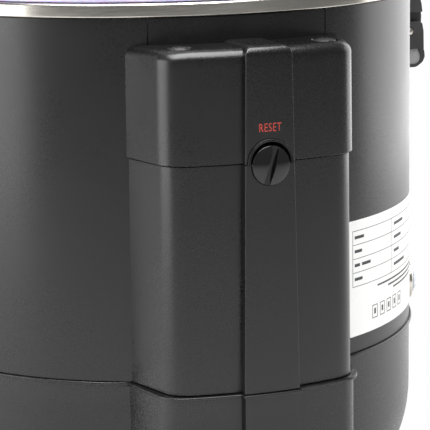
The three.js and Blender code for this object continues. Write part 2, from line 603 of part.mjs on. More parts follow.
function addHeating() {
  const flangeZ = RIM_TOP + GAP;
  const floor = LINER_Z + LINER_WALL;
  add('pot_liner', turned([
    [26, LINER_Z], [LINER_R - 8, LINER_Z], [LINER_R, LINER_Z + 8], [LINER_R, flangeZ], [BODY_R - 7, flangeZ],
    [BODY_R - 7, flangeZ + LINER_WALL], [LINER_R - LINER_WALL, flangeZ + LINER_WALL],
    [LINER_R - LINER_WALL, LINER_Z + 8.5], [LINER_R - 8.5, floor], [26, floor],
  ]), aluminium);

  const ring = solid(tube(LUG_R + 2, BODY_R - 8, LOCK_Z, LOCK_TOP));
  const teeth = [];
  for (let i = 0; i < LUG_COUNT; i += 1) {
    const middle = (360 / LUG_COUNT) * (i + 0.5);
    const tooth = sector(TOOTH_R, LUG_R + 4, middle - LUG_HALF, middle + LUG_HALF);
    teeth.push(solid(prism(tooth, LOCK_Z, LOCK_TOP, 3)));
  }
  add('locking_ring', join(ring, ...teeth), steel);

  const plateTop = POT_Z - GAP;
  add('heating_plate', turned([
    [SENSOR_R + 1.5, plateTop - PLATE_H + 3], [SENSOR_R + 1.5, plateTop], [PLATE_R, plateTop],
    [PLATE_R, plateTop - 6], [PLATE_R - 8, plateTop - PLATE_H], [SENSOR_R + 8, plateTop - PLATE_H],
  ]), aluminium);

  const bracketZ = LINER_Z - 4;
  add('sensor_bracket', cut(
    solid(block(-42, 42, -13, 13, bracketZ, LINER_Z - GAP)),
    solid(rod(SENSOR_STEM_R + SLIDE_GAP, bracketZ - 1, LINER_Z + 1)),
  ), steel);
  add('temperature_sensor', turned([
    [0, bracketZ - 6], [SENSOR_STEM_R, bracketZ - 6], [SENSOR_STEM_R, plateTop - 9], [SENSOR_R, plateTop - 9],
    [SENSOR_R, plateTop - 1.5], [SENSOR_R - 1.5, plateTop], [0, plateTop],
  ], 24), aluminium);
  add('sensor_spring', coil(11, 0.8, LINER_Z + 1, plateTop - 9 - 1.1, 3), steel);
  add('pressure_switch', rod(14, LINER_Z - 22, LINER_Z - GAP, 16), blackPlastic, [70, 0, 0]);

  const inner = POT_R - POT_WALL;
  add('inner_pot', turned([
    [0, POT_Z], [POT_R - 15, POT_Z], [POT_R - 4, POT_Z + 5], [POT_R, POT_Z + 15], [POT_R, POT_TOP - POT_WALL],
    [POT_FLANGE_R, POT_TOP - POT_WALL], [POT_FLANGE_R, POT_TOP], [inner, POT_TOP], [inner, POT_Z + 15.5],
    [POT_R - 5.2, POT_Z + 6.2], [POT_R - 15.4, POT_Z + POT_WALL], [0, POT_Z + POT_WALL],
  ]), aluminium);
}

// An open coil spring with free ends.
function coil(r, wireR, z0, z1, turns) {
  class Helix extends THREE.Curve {
    getPoint(t) {
      const a = t * turns * 2 * Math.PI;
      return new THREE.Vector3(r * Math.cos(a), r * Math.sin(a), z0 + (z1 - z0) * t);
    }
  }
  const section = new THREE.Shape();
  section.absarc(0, 0, wireR, 0, 2 * Math.PI, false);
  const options = { steps: turns * 10, curveSegments: 3, extrudePath: new Helix() };
  return new THREE.ExtrudeGeometry(section, options);
}

// ---- lid --------------------------------------------------------------------------
const FLOAT_R = 3;
const STEM_R = 5;

// Heights of the lid cover's outer curve, as [radius share, drop below the top].
function lidCurve(grow) {
  const curve = [[0, 0], [0.32, 1], [0.62, 6], [0.86, 16], [0.965, 27], [1, 36.5], [1, LID_RISE]];
  return curve.map(([share, drop]) => [share * (LID_R + grow), LID_TOP + grow - drop]);
}

function addLid() {
  const outer = lidCurve(0);
  const inner = lidCurve(-LID_WALL).reverse();
  outer[outer.length - 1][1] = LID_Z;
  inner[0][1] = LID_Z;
  const [valveX, valveY] = polar(VALVE_OUT, 0);
  const [floatX, floatY] = polar(VALVE_OUT, FLOAT_ANGLE);
  const well = (r, x, y) => solid(rod(r, LUG_Z - 40, LID_TOP + 20).translate(x, y, 0));
  const cover = cut(
    solid(turned([...outer, ...inner], OUTER_SEGMENTS)),
    well(STEM_R + 1.5, valveX, valveY),
    well(FLOAT_R + 1.5, floatX, floatY),
  );
  add('lid_cover', cover, blackPlastic);

  const lugs = [];
  for (let i = 0; i < LUG_COUNT; i += 1) {
    const middle = (360 / LUG_COUNT) * i;
    const lug = sector(DOME_R - 2, LUG_R, middle - LUG_HALF, middle + LUG_HALF);
    lugs.push(solid(prism(lug, LUG_Z, LUG_Z + 3, 3)));
  }
  const dome = solid(turned([
    [0, DOME_TOP], [DOME_R - 76, DOME_TOP - 2], [DOME_R - 24, DOME_TOP - 10], [DOME_R - 5, LOCK_TOP],
    [DOME_R, LOCK_Z - 1.5], [DOME_R, LUG_Z], [DOME_R - 3, LUG_Z], [DOME_R - 3, LOCK_Z - 2.5],
    [DOME_R - 6.5, LOCK_TOP - 2], [DOME_R - 25, DOME_TOP - 12], [DOME_R - 76, DOME_TOP - 4], [0, DOME_TOP - 2],
  ]));
  add('lid_plate', cut(
    join(dome, ...lugs),
    well(STEM_R + GAP, valveX, valveY),
    well(FLOAT_R + SLIDE_GAP, floatX, floatY),
  ), steel);
  add('lid_centre_nut', rod(11, DOME_TOP + GAP, LID_TOP - LID_WALL - GAP, 12), steel);

  const sealTop = LUG_Z - GAP + 3;
  add('sealing_ring', turned([
    [POT_R - 1, POT_TOP + GAP], [DOME_R - 3 - SEAL_FIT, POT_TOP + GAP], [DOME_R - 3 - SEAL_FIT, sealTop],
    [DOME_R - 9, sealTop], [DOME_R - 9, POT_TOP + 3], [POT_R - 1, POT_TOP + 2],
  ]), whiteSilicone);

  const stemTop = LID_TOP + 10;
  add('valve_stem', tube(1.5, STEM_R, LUG_Z + 12, stemTop, SMALL_SEGMENTS), steel, [valveX, valveY, 0]);
  const knobZ = LID_TOP - 0.5;
  const knobBody = join(
    solid(turned([[0, knobZ], [15, knobZ], [15, knobZ + 9], [12, knobZ + 14.5], [0, knobZ + 14.5]], 24)),
    solid(block(8, 24, -5, 5, knobZ + 2, knobZ + 10)),
  );
  const bore = solid(rod(STEM_R + SLIDE_GAP, knobZ - 1, stemTop + SLIDE_GAP));
  add('steam_valve_knob', cut(knobBody, bore), blackPlastic, [valveX, valveY, 0]);

  const floatTop = LID_TOP - 3;
  add('float_pin', turned([
    [0, LUG_Z + 9], [5.5, LUG_Z + 9], [5.5, LUG_Z + 10.5], [FLOAT_R, LUG_Z + 10.5], [FLOAT_R, floatTop],
    [0, floatTop],
  ], 16), redPlastic, [floatX, floatY, 0]);
  add('float_seal', tube(FLOAT_R + 0.2, 6, LUG_Z + 10.8, LUG_Z + 12.6, 16), whiteSilicone, [floatX, floatY, 0]);

  const shield = join(
    solid(tube(9, 11, LUG_Z + 4, LUG_Z + 16, SMALL_SEGMENTS)),
    solid(rod(11, LUG_Z + 3, LUG_Z + 5)),
  );
  const port = (a) => solid(block(-12, 12, -2.5, 2.5, LUG_Z + 7, LUG_Z + 13).rotateZ(rad(a)));
  const ports = [0, 60, 120].map(port);
  add('anti_block_shield', cut(shield, ...ports), steel, [valveX, valveY, 0]);

  addLidGrip();
}

// An arched grip across the lid, cut to sit on the lid's curve.
function addLidGrip() {
  const legOut = 68;
  const legIn = 44;
  const top = LID_TOP + GRIP_RISE;
  const shape = new THREE.Shape();
  shape.moveTo(-legOut, LID_TOP - 14);
  shape.lineTo(-legIn, LID_TOP - 14);
  shape.lineTo(-legIn, LID_TOP + 8);
  shape.quadraticCurveTo(-legIn + 2, top - 13, -legIn + 16, top - 12);
  shape.lineTo(legIn - 16, top - 12);
  shape.quadraticCurveTo(legIn - 2, top - 13, legIn, LID_TOP + 8);
  shape.lineTo(legIn, LID_TOP - 14);
  shape.lineTo(legOut, LID_TOP - 14);
  shape.quadraticCurveTo(legOut - 2, top - 3, legIn - 10, top);
  shape.lineTo(-legIn + 10, top);
  shape.quadraticCurveTo(-legOut + 2, top - 3, -legOut, LID_TOP - 14);
  const arch = solid(prism(shape, -15, 15, 5).rotateX(Math.PI / 2));
  const seat = solid(turned([...lidCurve(GAP), [0, LID_Z]], OUTER_SEGMENTS));
  add('lid_grip', cut(arch, seat), glossBlack);
}

addBase();
addInlet();
addShell();
addRearHousing();
addHandle('left', -1);
addHandle('right', 1);
addLabelAndLamp();
addControlPanel();
addHeating();
addLid();

export default cooker;
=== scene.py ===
import math

import bmesh
import bpy
from mathutils import Matrix, Vector


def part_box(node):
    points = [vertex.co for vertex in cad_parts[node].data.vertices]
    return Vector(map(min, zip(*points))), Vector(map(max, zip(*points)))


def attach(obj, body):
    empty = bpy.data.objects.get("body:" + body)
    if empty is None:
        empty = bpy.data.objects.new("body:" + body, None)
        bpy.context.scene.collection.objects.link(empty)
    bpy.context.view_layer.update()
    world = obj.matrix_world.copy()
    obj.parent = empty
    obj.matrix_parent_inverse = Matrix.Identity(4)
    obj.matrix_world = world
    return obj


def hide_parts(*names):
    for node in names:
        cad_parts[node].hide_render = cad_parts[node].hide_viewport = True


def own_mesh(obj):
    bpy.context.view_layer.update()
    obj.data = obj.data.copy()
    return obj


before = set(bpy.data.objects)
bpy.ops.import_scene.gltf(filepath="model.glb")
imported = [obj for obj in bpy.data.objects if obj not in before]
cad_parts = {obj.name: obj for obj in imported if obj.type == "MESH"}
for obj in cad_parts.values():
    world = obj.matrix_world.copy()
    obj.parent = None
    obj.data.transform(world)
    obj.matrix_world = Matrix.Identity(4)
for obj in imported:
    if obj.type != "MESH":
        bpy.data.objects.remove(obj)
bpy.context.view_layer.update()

MM = 0.001        # every mesh is made in millimetres and brought to metres when it is placed


# ---- studio ------------------------------------------------------------------------------------
# A pale floor under the cooker, a white surround, and soft boxes: a strong one beside the
# cooker's left handle, a wide one overhead and weaker ones elsewhere, which give the satin
# black body its long soft highlights.
CAMERA_OUT, CAMERA_HEIGHT = 1228.3, 410.2      # from the body's axis and above the floor
CAMERA_TURN, CAMERA_YAW, CAMERA_PITCH, CAMERA_ROLL = 161.3, 1.82, -11.61, -0.94
CAMERA_LENS = 167.44
turn = Matrix.Rotation(math.radians(CAMERA_TURN), 4, "Z")
aim = (
    turn
    @ Matrix.Rotation(math.radians(-CAMERA_YAW), 4, "Z")
    @ Matrix.Rotation(math.radians(90 + CAMERA_PITCH), 4, "X")
    @ Matrix.Rotation(math.radians(CAMERA_ROLL), 4, "Z")
)
camera = bpy.data.objects.new("camera", bpy.data.cameras.new("camera"))
camera.matrix_world = Matrix.Translation(turn @ Vector((0, -CAMERA_OUT, CAMERA_HEIGHT)) * MM) @ aim
camera.data.lens = CAMERA_LENS
bpy.context.scene.collection.objects.link(camera)
bpy.context.scene.camera = camera
bpy.context.scene.view_settings.view_transform = "Standard"


def colour(code):
    """An sRGB hex colour as linear light."""
    parts = [int(code[i:i + 2], 16) / 255 for i in (0, 2, 4)]
    return (*[c / 12.92 if c <= 0.04045 else ((c + 0.055) / 1.055) ** 2.4 for c in parts], 1)


def node(tree, kind, links=None, **settings):
    """Adds one node. links gives a socket its value, or the output that feeds it."""
    new = tree.nodes.new(kind)
    for name, value in settings.items():
        setattr(new, name, value)
    for socket, value in (links or {}).items():
        if isinstance(value, bpy.types.NodeSocket):
            tree.links.new(value, new.inputs[socket])
        else:
            new.inputs[socket].default_value = value
    return new


def soft_box(name, place, size, power, tint="ffffff"):
    """A square lamp that faces the middle of the body, in millimetres and watts."""
    light = bpy.data.lights.new(name, "AREA")
    light.shape, light.size, light.energy, light.color = "SQUARE", size * MM, power, colour(tint)[:3]
    lamp = bpy.data.objects.new(name, light)
    towards = Vector((0, 0, 180)) - Vector(place)
    turn = towards.to_track_quat("-Z", "Y").to_matrix().to_4x4()
    lamp.matrix_world = Matrix.Translation(Vector(place) * MM) @ turn
    bpy.context.scene.collection.objects.link(lamp)


soft_box("side_box", (-1050, -380, 200), 1300, 13)
soft_box("left_box", (1250, 0, 300), 1000, 13)
soft_box("top_box", (150, 400, 1500), 1300, 60)
soft_box("front_box", (300, -1500, 500), 1000, 5)

world = bpy.data.worlds.new("surround")
bpy.context.scene.world = world
world.use_nodes = True
tree = world.node_tree
tree.nodes.clear()
seen = node(tree, "ShaderNodeLightPath")
lit = node(tree, "ShaderNodeBackground", {"Color": colour("ffffff"), "Strength": 0.28})
plain = node(tree, "ShaderNodeBackground", {"Color": colour("ffffff"), "Strength": 1.0})
from_camera = seen.outputs["Is Camera Ray"]
mix = node(tree, "ShaderNodeMixShader", {0: from_camera, 1: lit.outputs[0], 2: plain.outputs[0]})
node(tree, "ShaderNodeOutputWorld", {"Surface": mix.outputs[0]})

FLOOR_HALF = 6000
bm = bmesh.new()
bmesh.ops.create_grid(bm, x_segments=2, y_segments=2, size=FLOOR_HALF * MM)
mesh = bpy.data.meshes.new("floor")
bm.to_mesh(mesh)
bm.free()
floor = bpy.data.objects.new("floor", mesh)
bpy.context.scene.collection.objects.link(floor)
floor_paint = bpy.data.materials.new("matt_white_floor")
floor_paint.use_nodes = True
tree = floor_paint.node_tree
shader = tree.nodes["Principled BSDF"]
shader.inputs["Base Color"].default_value = colour("c8c8c8")
shader.inputs["Roughness"].default_value = 0.9
seen = node(tree, "ShaderNodeLightPath")
lift = node(tree, "ShaderNodeEmission", {"Color": colour("ffffff"), "Strength": 1.0})
from_camera = seen.outputs["Is Camera Ray"]
mix = node(tree, "ShaderNodeMixShader", {0: from_camera, 1: shader.outputs[0], 2: lift.outputs[0]})
tree.links.new(mix.outputs[0], tree.nodes["Material Output"].inputs["Surface"])
mesh.materials.append(floor_paint)


# ---- outer shell and rear panel ----------------------------------------------------------------
# Rolled steel sheet, 1.5 mm, in two pieces that meet behind the rear housing, with their top
# edge turned in under the rim. Stoved satin black powder coat.
def corners(name):
    """A frame node's lowest and highest corner, in millimetres."""
    low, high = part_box(name)
    return low / MM, high / MM


def material(name, base, roughness, grain_mm, **more):
    """A Principled material whose colour, roughness and surface carry a grain of a real size.

    mottle is how far the colour strays, bump the grain's height in millimetres, stretch the
    grain's drawn-out direction, and anything else is a socket of the Principled shader.
    """
    mottle = more.pop("mottle", 0.1)
    bump = more.pop("bump", 0.02)
    rough_spread = more.pop("rough_spread", 0.06)
    stretch = more.pop("stretch", (1, 1, 1))
    wear = more.pop("wear", 0)
    made = bpy.data.materials.new(name)
    made.use_nodes = True
    tree = made.node_tree
    shader = tree.nodes["Principled BSDF"]
    for socket, value in more.items():
        shader.inputs[socket.replace("_", " ")].default_value = value
    place = node(tree, "ShaderNodeTexCoord").outputs["Object"]
    drawn = node(tree, "ShaderNodeMapping", {"Vector": place, "Scale": stretch}).outputs[0]
    grain = node(tree, "ShaderNodeTexNoise", {"Vector": drawn, "Scale": 1 / (grain_mm * MM), "Detail": 3.0})
    cloud = node(tree, "ShaderNodeTexNoise", {"Vector": place, "Scale": 1 / (60 * MM), "Detail": 2.0})
    both = node(tree, "ShaderNodeMath", {0: grain.outputs["Fac"], 1: cloud.outputs["Fac"]}, operation="ADD")
    dark = tuple(c * (1 - mottle) for c in colour(base)[:3]) + (1,)
    light = tuple(min(1, c * (1 + mottle)) for c in colour(base)[:3]) + (1,)
    tone = node(tree, "ShaderNodeMapRange", {0: both.outputs[0], 1: 0.7, 2: 1.3})
    tint = node(tree, "ShaderNodeMix", {0: tone.outputs[0], 6: dark, 7: light}, data_type="RGBA")
    tree.links.new(tint.outputs[2], shader.inputs["Base Color"])
    dull = node(tree, "ShaderNodeMapRange", {
        0: both.outputs[0], 1: 0.7, 2: 1.3, 3: roughness - rough_spread, 4: roughness + rough_spread,
    })
    tree.links.new(dull.outputs[0], shader.inputs["Roughness"])
    raised = node(tree, "ShaderNodeBump", {
        "Height": grain.outputs["Fac"], "Distance": bump * MM, "Strength": 1.0,
    })
    tree.links.new(raised.outputs[0], shader.inputs["Normal"])
    if wear:
        edge = node(tree, "ShaderNodeNewGeometry").outputs["Pointiness"]
        rubbed = node(tree, "ShaderNodeMapRange", {0: edge, 1: 0.52, 2: 0.62, 3: 0.0, 4: wear})
        pale = tuple(min(1, c * 3 + 0.02) for c in colour(base)[:3]) + (1,)
        parts = {0: rubbed.outputs[0], 6: tint.outputs[2], 7: pale}
        worn = node(tree, "ShaderNodeMix", parts, data_type="RGBA")
        tree.links.new(worn.outputs[2], shader.inputs["Base Color"])
    return made


def piece(bm, name, body, slot, finish, *replaced, smooth=38):
    """Places a mesh made in millimetres as a piece that rides on a body of the frame."""
    bmesh.ops.remove_doubles(bm, verts=bm.verts, dist=0.002)
    bmesh.ops.scale(bm, vec=(MM, MM, MM), verts=bm.verts)
    mesh = bpy.data.meshes.new(name)
    bm.to_mesh(mesh)
    bm.free()
    mesh.shade_smooth()
    mesh.set_sharp_from_angle(angle=math.radians(smooth))
    made = bpy.data.objects.new(name, mesh)
    bpy.context.scene.collection.objects.link(made)
    mesh.materials.append(finish)
    even = made.modifiers.new("even_normals", "WEIGHTED_NORMAL")
    even.keep_sharp = True
    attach(made, body)
    if replaced:
        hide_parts(*replaced)
    return made


def rounded(points, radius, steps=4, closed=True):
    """A polyline whose corners are rounded. radius is one size or one for each point."""
    count = len(points)
    sizes = radius if isinstance(radius, (list, tuple)) else [radius] * count
    out = []
    for i, (point, size) in enumerate(zip(points, sizes)):
        here = Vector(point)
        if not size or (not closed and i in (0, count - 1)):
            out.append(here)
            continue
        back, on = Vector(points[i - 1]) - here, Vector(points[(i + 1) % count]) - here
        half = back.angle(on) / 2
        reach = min(size / math.tan(half), 0.49 * back.length, 0.49 * on.length)
        start, end = here + back.normalized() * reach, here + on.normalized() * reach
        for k in range(steps + 1):
            t = k / steps
            out.append(start * (1 - t) ** 2 + here * 2 * t * (1 - t) + end * t * t)
    return out


def shift(bm, by):
    bmesh.ops.translate(bm, verts=bm.verts, vec=by)


def spin(bm, degrees, axis):
    """Turn a form about one of the frame's axes."""
    bmesh.ops.rotate(bm, verts=bm.verts, cent=(0, 0, 0), matrix=Matrix.Rotation(math.radians(degrees), 3, axis))


def extruded(bm, faces, by):
    """Draw faces out along a vector, leaving a closed form behind them."""
    grown = bmesh.ops.extrude_face_region(bm, geom=faces)
    moved = [v for v in grown["geom"] if isinstance(v, bmesh.types.BMVert)]
    bmesh.ops.translate(bm, verts=moved, vec=by)


def turned(profile, steps=160, closed=True, start=0, sweep=360):
    """A profile of (radius, height) points turned about Z, from an angle measured from +Y."""
    bm = bmesh.new()
    way = Vector((math.sin(math.radians(start)), math.cos(math.radians(start)), 0))
    line = [bm.verts.new((*(way * p[0]).xy, p[1])) for p in profile]
    ends = line[1:] + line[:1] if closed else line[1:]
    edges = [bm.edges.new(pair) for pair in zip(line, ends)]
    full = sweep == 360
    bmesh.ops.spin(
        bm, geom=line + edges, cent=(0, 0, 0), axis=(0, 0, -1),
        angle=math.radians(sweep), steps=steps, use_merge=full,
    )
    bmesh.ops.remove_doubles(bm, verts=bm.verts, dist=0.002)
    if not full:
        bmesh.ops.holes_fill(bm, edges=bm.edges)
    bmesh.ops.recalc_face_normals(bm, faces=bm.faces)
    return bm


def combined(bm, tool, operation="DIFFERENCE"):
    """One solid with another cut from it or joined to it."""
    pair = []
    for each in (bm, tool):
        mesh = bpy.data.meshes.new("part")
        each.to_mesh(mesh)
        each.free()
        pair.append(bpy.data.objects.new("part", mesh))
        bpy.context.scene.collection.objects.link(pair[-1])
    step = pair[0].modifiers.new("step", "BOOLEAN")
    step.operation, step.solver, step.object = operation, "EXACT", pair[1]
    shaped = pair[0].evaluated_get(bpy.context.evaluated_depsgraph_get())
    result = bmesh.new()
    result.from_mesh(shaped.to_mesh())
    for each in pair:
        mesh = each.data
        bpy.data.objects.remove(each)
        bpy.data.meshes.remove(mesh)
    return result


def box(x0, x1, y0, y1, z0, z1):
    bm = bmesh.new()
    bmesh.ops.create_cube(bm, size=1)
    bmesh.ops.scale(bm, vec=(x1 - x0, y1 - y0, z1 - z0), verts=bm.verts)
    bmesh.ops.translate(bm, vec=((x0 + x1) / 2, (y0 + y1) / 2, (z0 + z1) / 2), verts=bm.verts)
    return bm


# Powder coat: a satin film with a fine orange-peel, drawn at 0.9 mm so that it shows.
powder_coat = material("stoved_powder_coat", "0b0b0c", 0.3, 0.9, mottle=0.12, bump=0.012, rough_spread=0.05)

SHELL_WALL = 1.5
SHELL_EDGE_R = 0.9
shell_low, shell_high = corners("outer_shell")
SHELL_R = shell_high.x
SHELL_TOP, SHELL_FOOT = shell_high.z, shell_low.z
panel_high = corners("rear_panel")[1]
PANEL_SEAM = math.degrees(math.asin(panel_high.x / SHELL_R))
SEAM_GAP = 0.12
WALL_PROFILE = rounded([
    (SHELL_R - SHELL_WALL, SHELL_FOOT), (SHELL_R, SHELL_FOOT), (SHELL_R, SHELL_TOP), (SHELL_R - 4, SHELL_TOP),
    (SHELL_R - 4, SHELL_TOP - SHELL_WALL), (SHELL_R - SHELL_WALL, SHELL_TOP - SHELL_WALL),
], [0, 0, SHELL_EDGE_R, 0, 0, 0], steps=5)
shell = turned(WALL_PROFILE, 240, start=PANEL_SEAM + SEAM_GAP, sweep=360 - 2 * PANEL_SEAM - 2 * SEAM_GAP)
front_low, front_high = corners("control_panel")
shell = combined(shell, box(-58, 58, -SHELL_R - 9, -SHELL_R + 14, front_low.z + 8, front_high.z - 8))
piece(shell, "body_shell", "base", "shell_paint", powder_coat, "outer_shell")
piece(
    turned(WALL_PROFILE, 36, start=-PANEL_SEAM + SEAM_GAP, sweep=2 * PANEL_SEAM - 2 * SEAM_GAP),
    "back_panel", "base", "shell_paint", powder_coat, "rear_panel",
)


# ---- rim and rim seal --------------------------------------------------------------------------
# The rim is a rolled band of polished stainless steel that holds the liner to the shell. A
# strip of translucent lilac silicone lies in it, under the lid cover's edge.
ring_low, ring_high = corners("rim_ring")
RIM_R, RIM_FOOT, RIM_TOP = ring_high.x, ring_low.z, ring_high.z
RIM_ROLL = 2.0
RIM_WIDTH = 15
rim_profile = rounded([
    (SHELL_R - 4, RIM_FOOT), (RIM_R, RIM_FOOT), (RIM_R, RIM_TOP), (RIM_R - RIM_WIDTH, RIM_TOP),
    (RIM_R - RIM_WIDTH, RIM_TOP - 2), (SHELL_R - 4, RIM_TOP - 2),
], [0, 0.7, RIM_ROLL, 0.3, 0.3, 0], steps=6)
# Polished stainless: mirror-like, with faint streaks round the band from its polishing wheel.
polished_steel = material(
    "polished_stainless", "c9c5bd", 0.2, 3.0,
    mottle=0.06, bump=0.004, rough_spread=0.05, stretch=(0.15, 0.15, 3),
    Metallic=1.0,
)
piece(turned(rim_profile, 256), "steel_rim", "base", "stainless", polished_steel, "rim_ring")

seal_low, seal_high = corners("rim_seal")
# Silicone: soft and translucent, so it glows a little where light passes into it.
lilac_silicone = material(
    "lilac_silicone", "b9b2d8", 0.35, 2.0,
    mottle=0.08, bump=0.01, Subsurface_Weight=0.4, Subsurface_Scale=0.003,
)
seal_profile = rounded([
    (seal_high.x - 4.5, seal_low.z), (seal_high.x, seal_low.z), (seal_high.x, seal_high.z),
    (seal_high.x - 4.5, seal_high.z),
], 0.8)
piece(turned(seal_profile, 256), "lilac_rim_seal", "base", "lilac_silicone", lilac_silicone, "rim_seal")


# ---- rear housing ------------------------------------------------------------------------------
# Two injection-moulded ABS covers over the wiring, one above the other, with flared side
# walls and rounded corners. Screws hold them from above, under the two pale screw covers.
HOUSING_REACH = 33
ROOT_TOP, ROOT_FOOT = 23.4, 24.0        # side walls' root, degrees from the rear, top and foot
CORNER_TOP, CORNER_FOOT = 16.2, 16.45   # corner before it is rounded
CORNER_CUT = 10
COVER_STEP = 1.2
COVER_WALL = 2.5
upper_low, upper_high = corners("housing_upper_cover")
lower_low, lower_high = corners("housing_lower_cover")
HOUSING_TOP, HOUSING_FOOT = upper_high.z, lower_low.z
FACE_R = SHELL_R + HOUSING_REACH


def polar(r, angle):
    return Vector((r * math.sin(math.radians(angle)), r * math.cos(math.radians(angle))))


def housing_half(z, grow, face=FACE_R, body=SHELL_R):
    """One side of the housing's outline, from inside the shell out to the middle of the face."""
    share = (HOUSING_TOP - z) / (HOUSING_TOP - HOUSING_FOOT)
    spread = math.degrees(grow / SHELL_R)
    root = polar(body, ROOT_TOP + (ROOT_FOOT - ROOT_TOP) * share + spread)
    corner = CORNER_TOP + (CORNER_FOOT - CORNER_TOP) * share + spread
    tip = polar(face + grow, corner)
    along = (root - tip).normalized()
    bend = math.degrees(CORNER_CUT / face)
    start, end = tip + along * CORNER_CUT, polar(face + grow, corner - bend)
    line = [root + along * 6, root, start]
    for k in range(1, 10):
        t = k / 10
        line.append(start * (1 - t) ** 2 + tip * 2 * t * (1 - t) + end * t * t)
    line += [polar(face + grow, (corner - bend) * (1 - k / 14)) for k in range(14)]
    return line


def housing_loop(z, grow):
    right = housing_half(z, grow)
    return right + [Vector((0, FACE_R + grow))] + [Vector((-p.x, p.y)) for p in reversed(right)]


def lofted(levels, cap_top, cap_foot):
    """A skin through closed loops of points, one loop for each (height, points)."""
    bm = bmesh.new()
    previous, first = None, None
    for z, points in levels:
        ring = [bm.verts.new((p[0], p[1], z)) for p in points]
        edges = [bm.edges.new(pair) for pair in zip(ring, ring[1:] + ring[:1])]
        if previous:
            bmesh.ops.bridge_loops(bm, edges=previous + edges)
        previous, first = edges, first or ring
    if cap_top:
        bm.faces.new(ring)
    if cap_foot:
        bm.faces.new(first)
    bmesh.ops.recalc_face_normals(bm, faces=bm.faces)
    return bm


def cover(z0, z1, grow, top_round):
    """A housing cover's skin, open behind, with its top edge rounded where top_round is set."""
    heights = [(z0, 0.35), (z0 + 0.35, 0)]
    heights += [(z0 + (z1 - z0) * k / 6, 0) for k in range(1, 6)]
    if top_round:
        turn_in = [math.radians(15 * k) for k in range(7)]
        heights += [(z1 - top_round * (1 - math.sin(a)), top_round * (1 - math.cos(a))) for a in turn_in]
    else:
        heights += [(z1 - 0.35, 0), (z1, 0.35)]
    return lofted([(z, housing_loop(z, grow - inset)) for z, inset in heights], True, True)


def disc_tool(r, y0, y1, x, z, steps=64):
    """A round cutter that lies along Y."""
    tool = turned([(0, y0), (r, y0), (r, y1), (0, y1)], steps, closed=False)
    spin(tool, -90, "X")
    shift(tool, (x, 0, z))
    bmesh.ops.recalc_face_normals(tool, faces=tool.faces)
    return tool


def hollow(z0, z1, grow):
    return lofted([(z0, housing_loop(z0, grow)), (z1, housing_loop(z1, grow))], True, True)


# ABS with a spark-eroded texture: satin, with a fine pebble grain drawn at 0.8 mm.
moulded_black = material(
    "spark_eroded_abs", "080809", 0.3, 0.9, mottle=0.3, bump=0.045, rough_spread=0.07, wear=0.25,
)

collar_low, collar_high = corners("reset_collar")
cap_low, cap_high = corners("reset_cap")
RESET_Z = (cap_low.z + cap_high.z) / 2
CAP_R = cap_high.x
ARCH_R = collar_high.x
ARCH_Z = collar_high.z - ARCH_R
ARCH_BORE = ARCH_R - 2.2
TOP_ROUND = 6.2
TALL = 400               # taller than the whole cooker, for cutters that pass right through


def post(r, z0=0, z1=TALL, steps=240):
    """A solid round post about the body's axis."""
    return turned([(0, z0), (r, z0), (r, z1), (0, z1)], steps, closed=False)


body_tool = post(SHELL_R + 0.3)
upper = cover(upper_low.z, HOUSING_TOP, 0, TOP_ROUND)
upper = combined(upper, body_tool.copy())
upper = combined(upper, hollow(upper_low.z - 1, HOUSING_TOP - COVER_WALL, -COVER_WALL))
upper = combined(upper, disc_tool(ARCH_R + 0.3, 150, 220, 0, ARCH_Z))
COVER_SCREW_R, SCREW_OUT = 6.0, 13.5
screw_place = polar(FACE_R - 14.5, SCREW_OUT)
for side in (-1, 1):
    recess = turned([(0, 0), (COVER_SCREW_R + 1.3, 0), (COVER_SCREW_R + 1.9, 3), (0, 3)], 48, closed=False)
    recess_place = (side * screw_place.x, screw_place.y, HOUSING_TOP - 0.9)
    shift(recess, recess_place)
    upper = combined(upper, recess)
piece(upper, "housing_cover_top", "base", "black_plastic", moulded_black, "housing_upper_cover")
lower = cover(HOUSING_FOOT, lower_high.z, -COVER_STEP, 0)
lower = combined(lower, body_tool)
lower = combined(lower, hollow(HOUSING_FOOT - 1, lower_high.z + 1, -COVER_STEP - COVER_WALL))
lower = combined(lower, disc_tool(CAP_R + 0.35, 150, 220, 0, RESET_Z))
piece(lower, "housing_cover_bottom", "base", "black_plastic", moulded_black, "housing_lower_cover")


# ---- centre strip ------------------------------------------------------------------------------
# A narrow ABS strip down the middle of both covers, wider at its foot, that hooks over the
# top of the housing. It hides the covers' screws and carries the reset cap.
STRIP_PROUD = 4
STRIP_TOP_HALF, STRIP_FOOT_HALF = 13.2, 17.6
STRIP_EDGE = 0.8
STRIP_R = FACE_R + STRIP_PROUD
base_low = corners("base_skirt")[0]
SPLIT = upper_low.z


def strip_half(z):
    return STRIP_TOP_HALF + (STRIP_FOOT_HALF - STRIP_TOP_HALF) * (HOUSING_TOP - z) / (HOUSING_TOP - base_low.z)


def strip_loop(z, grow, inner):
    """The strip's section: a thin band, its outer edges rounded, concentric with the body."""
    half = strip_half(z) + grow
    outer, points = STRIP_R + grow, []
    for k in range(13):
        x = half * (1 - 2 * k / 12)
        points.append((x, math.sqrt(outer ** 2 - x ** 2)))
    points += [(-half, inner), (half, inner)]
    return rounded(points, [STRIP_EDGE] + [0] * 11 + [STRIP_EDGE, 0, 0], steps=4)


def strip(z0, z1, inner, top_round):
    heights = [(z0, -0.3), (z0 + 0.3, 0)] + [(z0 + (z1 - z0) * k / 5, 0) for k in range(1, 5)]
    if top_round:
        heights += [(z1 - top_round * (1 - math.sin(a)), -top_round * (1 - math.cos(a)))
                    for a in [math.radians(15 * k) for k in range(7)]]
    else:
        heights += [(z1 - 0.3, 0), (z1, -0.3)]
    return lofted([(z, strip_loop(z, grow, inner)) for z, grow in heights], True, True)


